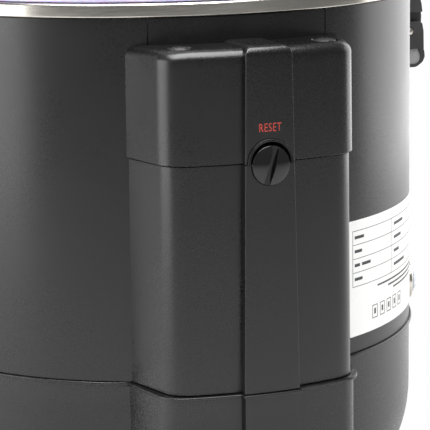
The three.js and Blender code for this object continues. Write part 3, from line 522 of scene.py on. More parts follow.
strip_high = corners("centre_strip_upper")[1]
top_strip = strip(SPLIT, strip_high.z, SHELL_R - 4, 5.2)
top_strip = combined(top_strip, post(SHELL_R + 0.3))
under_strip = cover(SPLIT - 1, HOUSING_TOP + 0.15, 0.15, TOP_ROUND)
top_strip = combined(top_strip, under_strip)
top_strip = combined(top_strip, disc_tool(ARCH_R + 0.12, 150, 220, 0, ARCH_Z, 96))
piece(top_strip, "strip_top", "base", "black_plastic", moulded_black, "centre_strip_upper")
lower_strip_low, lower_strip_high = corners("centre_strip_lower")
foot_strip = strip(lower_strip_low.z, lower_strip_high.z, 180, 0)
inside = post(FACE_R - COVER_STEP + 0.2)
foot_strip = combined(foot_strip, inside)
foot_strip = combined(foot_strip, disc_tool(CAP_R + 0.35, 150, 220, 0, RESET_Z, 96))
piece(foot_strip, "strip_bottom", "base", "black_plastic", moulded_black, "centre_strip_lower")


# ---- reset cap, its collar and lettering -------------------------------------------------------
# The collar is an arch moulded in ABS that stops at the covers' split line. The cap is a
# polished ABS plug with a domed face and a wide coin slot; it unscrews from over the
# thermal cut-out's red button. RESET is printed above it in red.
SLOT_WIDTH, SLOT_TILT, CAP_DOME = 3.5, 15, 2.4


def outward(angle, z):
    """Turns a shape made along +Z to point out of the body at an angle from the rear."""
    turn = Matrix.Rotation(math.radians(-angle), 4, "Z") @ Matrix.Rotation(math.radians(-90), 4, "X")
    return Matrix.Translation((0, 0, z)) @ turn


def placed(bm, matrix):
    bmesh.ops.transform(bm, matrix=matrix, verts=bm.verts)
    return bm


collar_face = collar_high.y
collar_profile = rounded([
    (ARCH_BORE, collar_low.y), (ARCH_R, collar_low.y), (ARCH_R, collar_face), (ARCH_R - 0.7, collar_face),
    (ARCH_R - 0.7, collar_face - 0.6), (ARCH_R - 0.9, collar_face - 0.6), (ARCH_R - 0.9, collar_face - 0.1),
    (ARCH_R - 1.4, collar_face - 0.1), (ARCH_BORE, collar_face - 1.5),
], [0, 0, 0.25, 0.25, 0, 0, 0.2, 0.3, 0.3])
collar = placed(turned(collar_profile, 96), outward(0, ARCH_Z))
collar = combined(collar, box(-30, 30, 150, 230, RESET_Z - 40, SPLIT))
piece(collar, "cap_arch", "base", "black_plastic", moulded_black, "reset_collar")

# Polished ABS: deep black with a clear mirror gloss and the odd handling scuff.
gloss_black = material("polished_abs", "0c0c0d", 0.14, 1.6, mottle=0.1, bump=0.003, rough_spread=0.05)
crown = cap_high.y
arc_r = (CAP_R ** 2 + CAP_DOME ** 2) / (2 * CAP_DOME)
dome = [(CAP_R * k / 8, crown - arc_r + math.sqrt(arc_r ** 2 - (CAP_R * k / 8) ** 2)) for k in range(9)]
cap_profile = rounded(dome + [(CAP_R, cap_low.y), (0, cap_low.y)], [0] * 8 + [0.5, 0, 0], closed=False)
cap = turned(cap_profile, 128, closed=False)
slot_tool = box(-SLOT_WIDTH / 2, SLOT_WIDTH / 2, -20, 20, crown - CAP_DOME - 0.3, crown + 3)
bmesh.ops.rotate(slot_tool, verts=slot_tool.verts, cent=(0, 0, 0),
                 matrix=Matrix.Rotation(math.radians(-SLOT_TILT), 3, "Z"))
cap = combined(cap, slot_tool)
sharp = [e for e in cap.edges if len(e.link_faces) == 2 and e.calc_face_angle() > 0.9
         and min(v.co.z for v in e.verts) > crown - CAP_DOME - 0.1]
bmesh.ops.bevel(cap, geom=sharp, offset=0.3, affect="EDGES", segments=3, profile=0.5, material=-1)
piece(placed(cap, outward(0, RESET_Z)), "slotted_cap", "cap", "gloss_black", gloss_black, "reset_cap")

LETTER_FOOT, LETTER_H, LETTERS_WIDE = 240.4, 4.5, 12.6
letters = bpy.data.curves.new("letters", "FONT")
letters.body = "RESET"
letters.align_x = "CENTER"
letters.size = 1
letters.extrude = 0.008
letters.offset = -0.004
letters.space_character = 1.12
drawn = bpy.data.objects.new("letters", letters)
bpy.context.scene.collection.objects.link(drawn)
bpy.context.view_layer.update()
text = bmesh.new()
text.from_mesh(drawn.evaluated_get(bpy.context.evaluated_depsgraph_get()).to_mesh())
bpy.data.objects.remove(drawn)
xs, ys = [v.co.x for v in text.verts], [v.co.y for v in text.verts]
wide, tall = max(xs) - min(xs), max(ys) - min(ys)
bmesh.ops.remove_doubles(text, verts=text.verts, dist=1e-5)
for v in text.verts:
    across = (v.co.x - (max(xs) + min(xs)) / 2) / wide * LETTERS_WIDE
    up = (v.co.y - min(ys)) / tall * LETTER_H
    lift = 0.06 if v.co.z > 0 else -0.1
    v.co = (-across, math.sqrt(STRIP_R ** 2 - across ** 2) + lift, LETTER_FOOT + up)
bmesh.ops.recalc_face_normals(text, faces=text.faces)
# Pad-printed ink: flat red with slightly uneven cover.
red_ink = material("pad_printed_red_ink", "a8392f", 0.5, 0.5, mottle=0.15, bump=0.003)
piece(text, "reset_lettering", "base", "red_plastic", red_ink, smooth=20)


# ---- screw covers ------------------------------------------------------------------------------
# Domed satin grey ABS plugs pressed over the housing's screws.
grey_abs = material("grey_moulded_abs", "2a2a2b", 0.26, 1.0, mottle=0.12, bump=0.015, rough_spread=0.06)
for name, side in (("left", -1), ("right", 1)):
    plug = turned(rounded([
        (0, HOUSING_TOP + 0.9), (3.4, HOUSING_TOP + 0.8), (COVER_SCREW_R, HOUSING_TOP - 0.1),
        (COVER_SCREW_R, HOUSING_TOP - 0.9), (0, HOUSING_TOP - 0.9),
    ], [0, 1.5, 0.5, 0, 0], closed=False), 64, closed=False)
    shift(plug, (side * screw_place.x, screw_place.y, 0))
    piece(plug, f"screw_plug_{name}", "base", "pale_plastic", grey_abs, f"screw_cover_{name}")


# ---- base moulding and seam bead ---------------------------------------------------------------
# One deep ABS tub closes the body from below. Its wall follows the shell, the housing and the
# strip, stands upright near the top and curves in towards the feet. A raised bead runs round
# its upper edge, where the shell drops into it.
BASE_WALL = 2.5
CURVE_TOP, CURVE_R = 46, 85      # height of the curved part and its profile radius
bead_low, bead_high = corners("seam_trim")
BEAD_PROUD = bead_high.x - SHELL_R
cover_low, cover_high = corners("bottom_cover")


def foot_loop(z, grow):
    """The base's outline at a height: body, housing and strip, drawn in by the curve."""
    drop = max(0, base_low.z + CURVE_TOP - z)
    inset = CURVE_R - math.sqrt(CURVE_R ** 2 - drop ** 2)
    r, face, strip_r = (reach - inset + grow for reach in (SHELL_R, FACE_R, STRIP_R))
    half = strip_half(z) + grow
    side = [p for p in housing_half(max(z, HOUSING_FOOT), grow, FACE_R - inset, SHELL_R - inset)][1:-14]
    edge = math.degrees(math.asin((half + 0.15) / face))
    corner = math.degrees(math.atan2(side[-1].x, side[-1].y))
    side += [polar(face, edge + (corner - edge) * (1 - k / 8)) for k in range(1, 9)]
    for k in range(11):
        x = half * (1 - k / 10)
        side.append(Vector((x - (0.5 if k == 0 else 0), math.sqrt(strip_r ** 2 - x ** 2))))
    root = math.degrees(math.atan2(side[0].x, side[0].y))
    steps = 84
    body = [polar(r, 180 - (180 - root) * k / steps) for k in range(steps)]
    right = body + side
    return right + [Vector((-p.x, p.y)) for p in reversed(right[1:-1])]


def foot_ring(r, count_like):
    """A circle with its points in step with an outline's, for the tub's open underside."""
    return [Vector((p.x, p.y)).normalized() * r for p in count_like]


levels = [(bead_low.z - 0.3, 0)] + [(z, 0) for z in (80, 66, 54, 48, 42, 36, 30, 24, 18, 13, 10)]
loops = [(z, foot_loop(z, grow)) for z, grow in levels]
loops.append((base_low.z + 0.6, foot_loop(base_low.z + 0.6, -0.2)))
loops.append((base_low.z, foot_loop(base_low.z, -1.0)))
loops.append((base_low.z, foot_ring(cover_high.x + 0.4, loops[-1][1])))
skirt = lofted(loops, False, False)
middle = skirt.faces[:][0]
if middle.normal.dot(Vector((*middle.calc_center_median().xy, 0))) < 0:
    bmesh.ops.reverse_faces(skirt, faces=skirt.faces)
bmesh.ops.solidify(skirt, geom=skirt.faces[:], thickness=BASE_WALL)
inlet_low, inlet_high = corners("power_inlet")
INLET_Z = (inlet_low.z + inlet_high.z) / 2
INLET_HALF_W, INLET_HALF_H = 15.2, 11.2
inlet_hole = box(130, 175, -INLET_HALF_W, INLET_HALF_W, INLET_Z - INLET_HALF_H, INLET_Z + INLET_HALF_H)
skirt = combined(skirt, inlet_hole)
piece(skirt, "base_tub", "base", "black_plastic", moulded_black, "base_skirt")

BEAD_EDGE = 0.5
bead_heights = [
    (bead_low.z, -BEAD_EDGE), (bead_low.z + 0.2, -0.15), (bead_low.z + BEAD_EDGE, 0),
    (bead_high.z - BEAD_EDGE, 0), (bead_high.z - 0.2, -0.15), (bead_high.z, -BEAD_EDGE),
]
bead_loops = [(z, foot_loop(120, BEAD_PROUD + grow)) for z, grow in bead_heights]
inner_loop = foot_loop(120, -1.5)
bead = lofted(bead_loops + [(bead_high.z, inner_loop), (bead_low.z, inner_loop), bead_loops[0]], False, False)
piece(bead, "seam_bead", "base", "black_plastic", moulded_black, "seam_trim")


# ---- bottom cover and feet ---------------------------------------------------------------------
# A flat moulded cover with eight cooling slots, and four rubber feet pushed into it.
bottom = turned(rounded([
    (0, cover_low.z), (cover_high.x, cover_low.z), (cover_high.x, cover_high.z), (0, cover_high.z),
], [0, 0.6, 0, 0], closed=False), 160, closed=False)
slots = bmesh.new()
VENT_HALF, VENT_FROM, VENT_TO = 2, 42, 82
for k in range(8):
    vent = box(-VENT_HALF, VENT_HALF, VENT_FROM, VENT_TO, cover_low.z - 1, cover_high.z + 1)
    upright = [e for e in vent.edges if abs(e.verts[0].co.z - e.verts[1].co.z) > 1]
    bmesh.ops.bevel(vent, geom=upright, offset=1.9, affect="EDGES", segments=5, profile=0.5, material=-1)
    spin(vent, 45 * k, "Z")
    spare = bpy.data.meshes.new("vent")
    vent.to_mesh(spare)
    vent.free()
    slots.from_mesh(spare)
    bpy.data.meshes.remove(spare)
piece(combined(bottom, slots), "bottom_plate", "base", "black_plastic", moulded_black, "bottom_cover")

# Nitrile rubber: dead matt, with a bloom of fine dust in its grain.
black_rubber = material("nitrile_rubber", "1c1c1c", 0.85, 0.7, mottle=0.25, bump=0.03, rough_spread=0.08)
for k in range(1, 5):
    low, high = corners(f"foot_{k}")
    foot_r = (high.x - low.x) / 2
    foot = turned(rounded([
        (0, 0), (foot_r - 5, 0), (foot_r - 4.5, 0.8), (foot_r - 4, 0), (foot_r - 2, 0), (foot_r, 2),
        (foot_r, high.z), (0, high.z),
    ], [0, 0.3, 0.4, 0.3, 0.8, 0.8, 0, 0], closed=False), 64, closed=False)
    shift(foot, ((low.x + high.x) / 2, (low.y + high.y) / 2, 0))
    piece(foot, f"rubber_foot_{k}", "base", "rubber", black_rubber, f"foot_{k}")


# ---- power inlet -------------------------------------------------------------------------------
# A three-pin appliance inlet in polished black plastic, clipped into the base wall, with
# nickel-plated brass pins in its well.
inlet_face = inlet_high.x


def plate(half_w, half_h, x0, x1, corner):
    """A rounded rectangle that faces +X at the inlet's height."""
    bm = box(x0, x1, -half_w, half_w, INLET_Z - half_h, INLET_Z + half_h)
    along = [e for e in bm.edges if abs(e.verts[0].co.x - e.verts[1].co.x) > 0.1]
    bmesh.ops.bevel(bm, geom=along, offset=corner, affect="EDGES", segments=6, profile=0.5, material=-1)
    return bm


inlet_flange = plate(18.5, 14.2, inlet_face - 2, inlet_face, 3)
inlet = combined(plate(15, 11, inlet_low.x, inlet_face - 1, 1), inlet_flange, "UNION")
front_edges = [e for e in inlet.edges if min(v.co.x for v in e.verts) > inlet_face - 0.1]
bmesh.ops.bevel(inlet, geom=front_edges, offset=0.7, affect="EDGES", segments=3, profile=0.5, material=-1)
inlet = combined(inlet, plate(12.2, 8.2, inlet_low.x + 3, inlet_face + 3, 2.5))
piece(inlet, "inlet_body", "base", "gloss_black", gloss_black, "power_inlet")
# Nickel-plated brass: warm silver with drawn marks along each pin.
plated_brass = material("nickel_plated_brass", "cfc8b8", 0.28, 0.8, mottle=0.1, bump=0.004, Metallic=1.0)
for number, (y, z) in enumerate([(-7, -2), (0, 2.5), (7, -2)], 1):
    pin = box(inlet_low.x + 2, inlet_face - 2, y - 0.9, y + 0.9, INLET_Z + z - 1.9, INLET_Z + z + 1.9)
    bmesh.ops.bevel(pin, geom=pin.edges[:], offset=0.4, affect="EDGES", segments=2, profile=0.5, material=-1)
    piece(pin, f"inlet_pin_{number}", "base", "stainless", plated_brass)


# ---- side handles ------------------------------------------------------------------------------
# Each handle is a moulded bracket screwed to the shell, with a drop grip that swings out on a
# steel cross pin. The grip's ends are hollow and closed by pale plugs. Dark grey nylon.
SHELL_CLEAR = 0.3
bracket_high = corners("handle_bracket_right")[1]
grip_low, grip_high = corners("handle_grip_right")
pin_low, pin_high = corners("handle_pin_right")
PIN_OUT = (pin_low.x + pin_high.x) / 2 - SHELL_R
PIN_Z = (pin_low.z + pin_high.z) / 2
PIN_R, ARM = 2.1, 5.5
HALF = grip_high.y
REACH = grip_high.x - SHELL_R
BAR_TOP, BAR_END = PIN_Z - 11.8, grip_low.z
KNUCKLE_R = 11.4
EDGE = 0.45
# Glass-filled nylon: satin dark grey with fine flow streaks down the moulding.
grey_nylon = material(
    "glass_filled_nylon", "2c2b2b", 0.4, 1.2,
    mottle=0.16, bump=0.02, rough_spread=0.07, stretch=(1, 1, 0.2), wear=0.2,
)


# Pale ABS, unpainted, for the small parts that carry no load.
pale_abs = material("pale_moulded_abs", "8f8f90", 0.42, 1.0, mottle=0.12, bump=0.015, rough_spread=0.06)


def side_form(outline, y0, y1):
    """A side view of (distance outside the shell, height) points, given its width along Y."""
    bm = bmesh.new()
    face = bm.faces.new([bm.verts.new((SHELL_R + p[0], y0, p[1])) for p in outline])
    extruded(bm, [face], (0, y1 - y0, 0))
    bmesh.ops.recalc_face_normals(bm, faces=bm.faces)
    return bm


def crossing(r, half):
    """A rod along Y through the pin's place."""
    bm = turned([(0, -half), (r, -half), (r, half), (0, half)], 48, closed=False)
    spin(bm, 90, "X")
    shift(bm, (SHELL_R + PIN_OUT, 0, PIN_Z))
    bmesh.ops.recalc_face_normals(bm, faces=bm.faces)
    return bm


def bowed(bm):
    """Slices a handle piece across and bows it, so that its outer face runs round the body."""
    for k in range(-7, 8):
        whole = bm.verts[:] + bm.edges[:] + bm.faces[:]
        bmesh.ops.bisect_plane(bm, geom=whole, plane_co=(0, k * 3.2, 0), plane_no=(0, 1, 0))
    for v in bm.verts:
        v.co.x = math.sqrt(v.co.x ** 2 - v.co.y ** 2)
    return bm


def eased(bm, size):
    """Breaks the edges that a handle piece has at its ends and corners."""
    sharp = [e for e in bm.edges if len(e.link_faces) == 2 and e.calc_face_angle() > 0.9]
    bmesh.ops.bevel(bm, geom=sharp, offset=size, affect="EDGES", segments=3, profile=0.5, material=-1,
                    clamp_overlap=True)
    return bm


def bracket():
    foot, top = PIN_Z + 12, bracket_high.z
    hood = rounded([
        (-3, foot), (REACH - 1.7, foot), (REACH - 2.3, PIN_Z + 17), (REACH - 4, PIN_Z + 23),
        (REACH - 9, top), (-3, top),
    ], [0, 0.5, 4, 4, 3, 0])
    around = [(PIN_OUT + KNUCKLE_R * math.cos(math.radians(a)), PIN_Z - KNUCKLE_R * math.sin(math.radians(a)))
              for a in range(90, -1, -10)]
    knuckle = [(-3, PIN_Z - KNUCKLE_R)] + around
    knuckle += [(PIN_OUT + KNUCKLE_R + 0.2, PIN_Z + 4), (REACH - 0.4, PIN_Z + 9)]
    knuckle += [(REACH - 0.8, foot + 1), (-3, foot + 1)]
    inner = HALF - ARM - 0.4
    bm = combined(side_form(hood, -HALF, HALF), side_form(knuckle, -inner, inner), "UNION")
    bm = bowed(eased(bm, EDGE))
    return combined(combined(bm, post(SHELL_R + SHELL_CLEAR)), crossing(PIN_R + 0.35, HALF + 3))


def grip():
    x, top, end = PIN_OUT, BAR_TOP, BAR_END
    arm = rounded([
        (3, top - 1), (x - 4.5, PIN_Z - 5), (x - 5.6, PIN_Z), (x - 4.2, PIN_Z + 4.2), (x, PIN_Z + 5.8),
        (x + 6.2, PIN_Z + 6.2), (x + 10.2, PIN_Z + 5.2), (REACH - 1.0, PIN_Z),
        (REACH - 0.8, top + 1), (REACH - 0.8, top - 1),
    ], [0, 3, 3, 3, 3, 2, 1.5, 2, 0, 0])
    bar = rounded([
        (3, top), (REACH - 0.6, top), (REACH, top - 4.6), (REACH - 1.6, end + 3), (REACH - 6, end),
        (7.5, end), (3, end + 4),
    ], [0.8, 1.2, 4, 4, 5, 4, 4])
    bm = side_form(bar, -HALF, HALF)
    for side in (-1, 1):
        bm = combined(bm, side_form(arm, *sorted((side * (HALF - ARM), side * HALF))), "UNION")
    bm = eased(bm, EDGE)
    pocket = rounded([
        (4.6, top + 0.2), (REACH - 4.4, top + 0.8), (REACH - 2.8, top - 5), (REACH - 4, end + 3),
        (REACH - 7, end + 1.9), (8, end + 1.9), (4.6, end + 5),
    ], [1, 1.5, 3, 3, 3, 2, 1.5])
    for side in (-1, 1):
        bm = combined(bm, side_form(pocket, *sorted((side * (HALF - 3), side * (HALF + 2)))))
    return combined(bowed(bm), crossing(PIN_R + 0.35, HALF + 3)), pocket


def sided(bm, side):
    if side < 0:
        bmesh.ops.rotate(bm, verts=bm.verts, cent=(0, 0, 0), matrix=Matrix.Rotation(math.pi, 3, "Z"))
    return bm


for name, side in (("left", -1), ("right", 1)):
    hood = sided(bracket(), side)
    piece(hood, f"bracket_{name}", "base", "grey_plastic", grey_nylon, f"handle_bracket_{name}")
    body, pocket = grip()
    body = sided(body, side)
    piece(body, f"drop_grip_{name}", f"grip_{name}", "grey_plastic", grey_nylon, f"handle_grip_{name}")
    for end, y in (("rear", 1), ("front", -1)):
        plug = bowed(side_form(pocket, *sorted((y * (HALF - 2.9), y * (HALF - 1.0)))))
        piece(sided(plug, side), f"grip_plug_{name}_{end}", f"grip_{name}", "pale_plastic", pale_abs)
    head = rounded([
        (0, -HALF - 0.6), (PIN_R, -HALF - 0.3), (PIN_R, HALF + 0.3), (0, HALF + 0.6),
    ], [0, 0.6, 0.6, 0], closed=False)
    rod = turned(head, 64, closed=False)
    spin(rod, 90, "X")
    shift(rod, (SHELL_R + PIN_OUT, 0, PIN_Z))
    piece(sided(rod, side), f"cross_pin_{name}", "base", "stainless", polished_steel, f"handle_pin_{name}")


# ---- rating label ------------------------------------------------------------------------------
# White polyester film stuck round the shell, printed with a ruled table. The lettering is
# left as plain bars, and the pictograms as plain boxes.
film_low, film_high = corners("rating_label")
LABEL_R = SHELL_R + 0.35
LABEL_FROM, LABEL_TO = 25.2, 66.4       # degrees from the rear, towards the left handle
LABEL_FOOT, LABEL_TOP = film_low.z, film_high.z
LABEL_CORNER = 3


def curved_patch(a0, a1, z0, z1, r, thick, corner=0):
    """A thin patch on the shell, between two angles and two heights."""
    arc = LABEL_R * math.radians(a1 - a0)
    outline = rounded([(0, z0), (arc, z0), (arc, z1), (0, z1)], corner, steps=5)
    bm = bmesh.new()
    bm.faces.new([bm.verts.new((p[0], 0, p[1])) for p in outline])
    cuts = int((a1 - a0) / 1.5)
    for k in range(1, cuts + 1):
        where = arc * k / (cuts + 1)
        whole = bm.verts[:] + bm.edges[:] + bm.faces[:]
        bmesh.ops.bisect_plane(bm, geom=whole, plane_co=(where, 0, 0), plane_no=(1, 0, 0))
    extruded(bm, bm.faces[:], (0, thick, 0))
    for v in bm.verts:
        spot = polar(r + v.co.y, -(a0 + v.co.x / arc * (a1 - a0)))
        v.co.x, v.co.y = spot
    bmesh.ops.recalc_face_normals(bm, faces=bm.faces)
    return bm


# Polyester film: bright white with a soft satin face and faint fibre-like unevenness.
white_film = material("white_polyester_film", "eeeeec", 0.45, 1.5, mottle=0.03, bump=0.004)
piece(curved_patch(LABEL_FROM, LABEL_TO, LABEL_FOOT, LABEL_TOP, SHELL_R + 0.1, 0.25, LABEL_CORNER),
      "label_sheet", "base", "label_film", white_film, "rating_label")
print_marks = []


def mark(x0, x1, z0, z1):
    """A printed mark: millimetres from the label's edge nearest the housing and below its top."""
    per_mm = (LABEL_TO - LABEL_FROM) / (LABEL_R * math.radians(LABEL_TO - LABEL_FROM))
    print_marks.append((LABEL_FROM + x0 * per_mm, LABEL_FROM + x1 * per_mm, LABEL_TOP - z1, LABEL_TOP - z0))


LABEL_WIDE = LABEL_R * math.radians(LABEL_TO - LABEL_FROM)
MARGIN, ROW_H, RULE, ROWS = 4, 8.2, 0.35, 4
TABLE_TOP = 6
for k in range(ROWS + 1):
    mark(MARGIN, LABEL_WIDE - MARGIN, TABLE_TOP + k * ROW_H, TABLE_TOP + k * ROW_H + RULE)
for x in (MARGIN, LABEL_WIDE * 0.42, LABEL_WIDE - MARGIN):
    mark(x, x + RULE, TABLE_TOP, TABLE_TOP + ROWS * ROW_H)
WORDS = [((6, 15), (53, 70)), ((6, 13), (53, 66)), ((6, 11), (13, 22), (53, 62)), ((6, 13.5), (53, 74))]
for row, words in enumerate(WORDS):
    for x0, x1 in words:
        mark(x0, x1, TABLE_TOP + row * ROW_H + 3.2, TABLE_TOP + row * ROW_H + 5.0)
for row, (x0, x1) in enumerate([(30, 100), (44, 104), (52, 96)]):
    mark(x0, x1, TABLE_TOP + ROWS * ROW_H + 3.2 + 2.8 * row, TABLE_TOP + ROWS * ROW_H + 4.3 + 2.8 * row)
for k in range(5):
    x, z = 24 + 9 * k, LABEL_TOP - LABEL_FOOT - 15
    for a, b, c, d in ((0, 6, 0, 0.5), (0, 6, 7.5, 8), (0, 0.5, 0, 8), (5.5, 6, 0, 8), (2, 4, 2.2, 5.6)):
        mark(x + a, x + b, z + c, z + d)
printing = bmesh.new()
for a0, a1, z0, z1 in print_marks:
    patch = curved_patch(a0, a1, z0, z1, SHELL_R + 0.33, 0.05)
    spare = bpy.data.meshes.new("mark")
    patch.to_mesh(spare)
    patch.free()
    printing.from_mesh(spare)
    bpy.data.meshes.remove(spare)
# Thermal-transfer ink: near black with a dry, slightly broken cover.
black_ink = material("thermal_transfer_ink", "303032", 0.55, 0.5, mottle=0.25, bump=0.002)
piece(printing, "label_print", "base", "label_film", black_ink, smooth=20)


# ---- pilot lamp --------------------------------------------------------------------------------
# A polished steel bezel and a clear domed lens over a small lamp, in the body's side.
bezel_low, bezel_high = corners("lamp_bezel")
LAMP_ANGLE = math.degrees(math.atan2((bezel_low.x + bezel_high.x) / 2, (bezel_low.y + bezel_high.y) / 2))
LAMP_Z = (bezel_low.z + bezel_high.z) / 2
LAMP_R = (bezel_high.z - bezel_low.z) / 2
bezel = rounded([
    (LAMP_R - 3, SHELL_R + 0.3), (LAMP_R, SHELL_R + 0.3), (LAMP_R, SHELL_R + 1.8),
    (LAMP_R - 0.8, SHELL_R + 2.6),
    (LAMP_R - 2.2, SHELL_R + 2.6), (LAMP_R - 3, SHELL_R + 1.8),
], [0, 0, 0.5, 0.5, 0.5, 0.3])
bezel = placed(turned(bezel, 128), outward(LAMP_ANGLE, LAMP_Z))
piece(bezel, "lamp_ring", "base", "stainless", polished_steel, "lamp_bezel")
# Clear polycarbonate: glossy, faintly milky from its moulded inner ribs.
clear_lens = material(
    "clear_polycarbonate", "dde4ec", 0.1, 2.0,
    mottle=0.05, bump=0.02, rough_spread=0.04, Transmission_Weight=0.6, IOR=1.58,
)
LENS_R = LAMP_R - 3.3
lens = rounded([
    (0, SHELL_R + 0.4), (LENS_R, SHELL_R + 0.4), (LENS_R, SHELL_R + 3.4), (LENS_R - 3, SHELL_R + 5.2),
    (0, SHELL_R + 5.9),
], [0, 0, 1.5, 3, 0], closed=False)
lens = placed(turned(lens, 96, closed=False), outward(LAMP_ANGLE, LAMP_Z))
piece(lens, "lamp_dome", "base", "clear_lens", clear_lens, "lamp_lens")


# ---- control panel -----------------------------------------------------------------------------
# A polished black ABS pod, bowed like the body, with a smoked window over the display, four
# pale push buttons and a brushed steel selector knob. Plain printed symbols, no words.
PANEL_HALF = 25
PANEL_WALL = 3
FRONT_R = SHELL_R + 17
PANEL_FOOT, PANEL_TOP = front_low.z, front_high.z
knob_low, knob_high = corners("selector_knob")
KNOB_Z = (knob_low.z + knob_high.z) / 2
KNOB_R = knob_high.x
window_low, window_high = corners("display_window")


def front_spot(r, angle):
    return polar(r, 180 + angle)


def sector_block(half, back, front, z0, z1, corner=0):
    """A bowed block in front of the body, its face's corners rounded."""
    bm = bmesh.new()
    wide = front * math.radians(half)
    outline = rounded([(-wide, z0), (wide, z0), (wide, z1), (-wide, z1)], corner, steps=6)
    bm.faces.new([bm.verts.new((p[0], 0, p[1])) for p in outline])
    for k in range(1, 32):
        bmesh.ops.bisect_plane(bm, geom=bm.verts[:] + bm.edges[:] + bm.faces[:],
                               plane_co=(-wide + 2 * wide * k / 32, 0, 0), plane_no=(1, 0, 0))
    extruded(bm, bm.faces[:], (0, front - back, 0))
    for v in bm.verts:
        spot = front_spot(back + v.co.y, math.degrees(v.co.x / front))
        v.co.x, v.co.y = spot
    bmesh.ops.recalc_face_normals(bm, faces=bm.faces)
    return bm


def softened(bm, size, test):
    """Rounds the sharp edges whose middle passes a test."""
    picked = [e for e in bm.edges if len(e.link_faces) == 2 and e.calc_face_angle() > 0.7
              and test((e.verts[0].co + e.verts[1].co) / 2)]
    bmesh.ops.bevel(bm, geom=picked, offset=size, affect="EDGES", segments=4, profile=0.5, material=-1)
    return bm


def radius_of(p):
    return math.hypot(p.x, p.y)


BUTTON_ANGLES = {}
for name in ("start", "timer", "keep_warm", "cancel"):
    low, high = corners(f"button_{name}")
    BUTTON_ANGLES[name] = math.degrees(math.atan2(-(low.x + high.x) / 2, -(low.y + high.y) / 2))
BUTTON_R = (corners("button_start")[1].z - corners("button_start")[0].z) / 2
panel = sector_block(PANEL_HALF, SHELL_R + 0.3, FRONT_R, PANEL_FOOT, PANEL_TOP, 7)
panel = softened(panel, 2.2, lambda p: radius_of(p) > FRONT_R - 0.5)
inside_half = PANEL_HALF - math.degrees(PANEL_WALL / SHELL_R)
panel = combined(panel, sector_block(
    inside_half, SHELL_R - 5, FRONT_R - PANEL_WALL, PANEL_FOOT + PANEL_WALL, PANEL_TOP - PANEL_WALL, 4,
))
DISPLAY_HALF = 13
opening = sector_block(
    DISPLAY_HALF + 0.15, FRONT_R - 8, FRONT_R + 5, window_low.z - 0.4, window_high.z + 0.4, 3.4,
)
panel = combined(panel, opening)
SLIDE = 0.35             # clearance round a button or a shaft
KNOB_STEM_R = 4
bore_span = (165, 190)
for angle in BUTTON_ANGLES.values():
    panel = combined(panel, placed(post(BUTTON_R + SLIDE, *bore_span, 64), outward(180 + angle, KNOB_Z)))
panel = combined(panel, placed(post(KNOB_STEM_R + SLIDE, *bore_span, 48), outward(180, KNOB_Z)))
piece(panel, "panel_pod", "base", "gloss_black", gloss_black, "control_panel")
# Smoked acrylic: nearly black, clear and glossy, so the display shows only when lit.
smoked_acrylic = material(
    "smoked_acrylic", "14171b", 0.06, 3.0,
    mottle=0.05, bump=0.002, rough_spread=0.03, Transmission_Weight=0.35, IOR=1.49,
)
pane = sector_block(DISPLAY_HALF, FRONT_R - PANEL_WALL, FRONT_R - 0.4, window_low.z, window_high.z, 3)
pane = softened(pane, 0.4, lambda p: radius_of(p) > FRONT_R - 0.6)
piece(pane, "display_pane", "base", "smoked_glass", smoked_acrylic, "display_window")
# Glass-fibre circuit board under green solder mask.
board_low, board_high = corners("control_board")
solder_mask = material("green_solder_mask", "1f5c3a", 0.35, 0.8, mottle=0.2, bump=0.01)
board = box(board_low.x, board_high.x, board_low.y, board_high.y, board_low.z, board_high.z)
bmesh.ops.bevel(board, geom=[e for e in board.edges if abs(e.verts[0].co.y - e.verts[1].co.y) > 0.1],
                offset=3, affect="EDGES", segments=4, profile=0.5, material=-1)
piece(board, "circuit_card", "base", "circuit_board", solder_mask, "control_board")
for name, angle in BUTTON_ANGLES.items():
    proud = FRONT_R + 1.8
    button = rounded([
        (0, FRONT_R - 9), (4, FRONT_R - 9), (4, FRONT_R - PANEL_WALL - 2.4),
        (BUTTON_R, FRONT_R - PANEL_WALL - 2.4),
        (BUTTON_R, proud - 0.5), (BUTTON_R - 1.5, proud), (0, proud - 0.5),
    ], [0, 0, 0, 0, 0.8, 1.0, 0], closed=False)
    button = placed(turned(button, 96, closed=False), outward(180 + angle, KNOB_Z))
    piece(button, f"push_{name}", name, "pale_plastic", pale_abs, f"button_{name}")

# Brushed steel over a moulded core; turned marks run round the knob's face.
brushed_steel = material(
    "brushed_stainless", "b9b8b4", 0.3, 0.35, mottle=0.12, bump=0.006, rough_spread=0.08, Metallic=1.0,
)
face = -knob_low.y
knob = rounded([
    (0, FRONT_R - 9), (KNOB_STEM_R, FRONT_R - 9), (KNOB_STEM_R, FRONT_R + 1), (KNOB_R, FRONT_R + 1),
    (KNOB_R, FRONT_R + 4), (KNOB_R - 0.8, FRONT_R + 4.8),
    (KNOB_R - 1.2, face - 2.4), (KNOB_R - 3, face), (KNOB_R - 5, face - 0.6), (0, face - 0.2),
], [0, 0, 0, 0.4, 0.4, 0.3, 1.2, 0.8, 0.6, 0], closed=False)
knob = turned(knob, 144, closed=False)
pointer = box(-0.8, 0.8, KNOB_R - 9, KNOB_R - 3.4, face - 1.2, face + 2)
knob = combined(knob, pointer)
piece(placed(knob, outward(180, KNOB_Z)), "dial", "knob", "stainless", brushed_steel, "selector_knob")

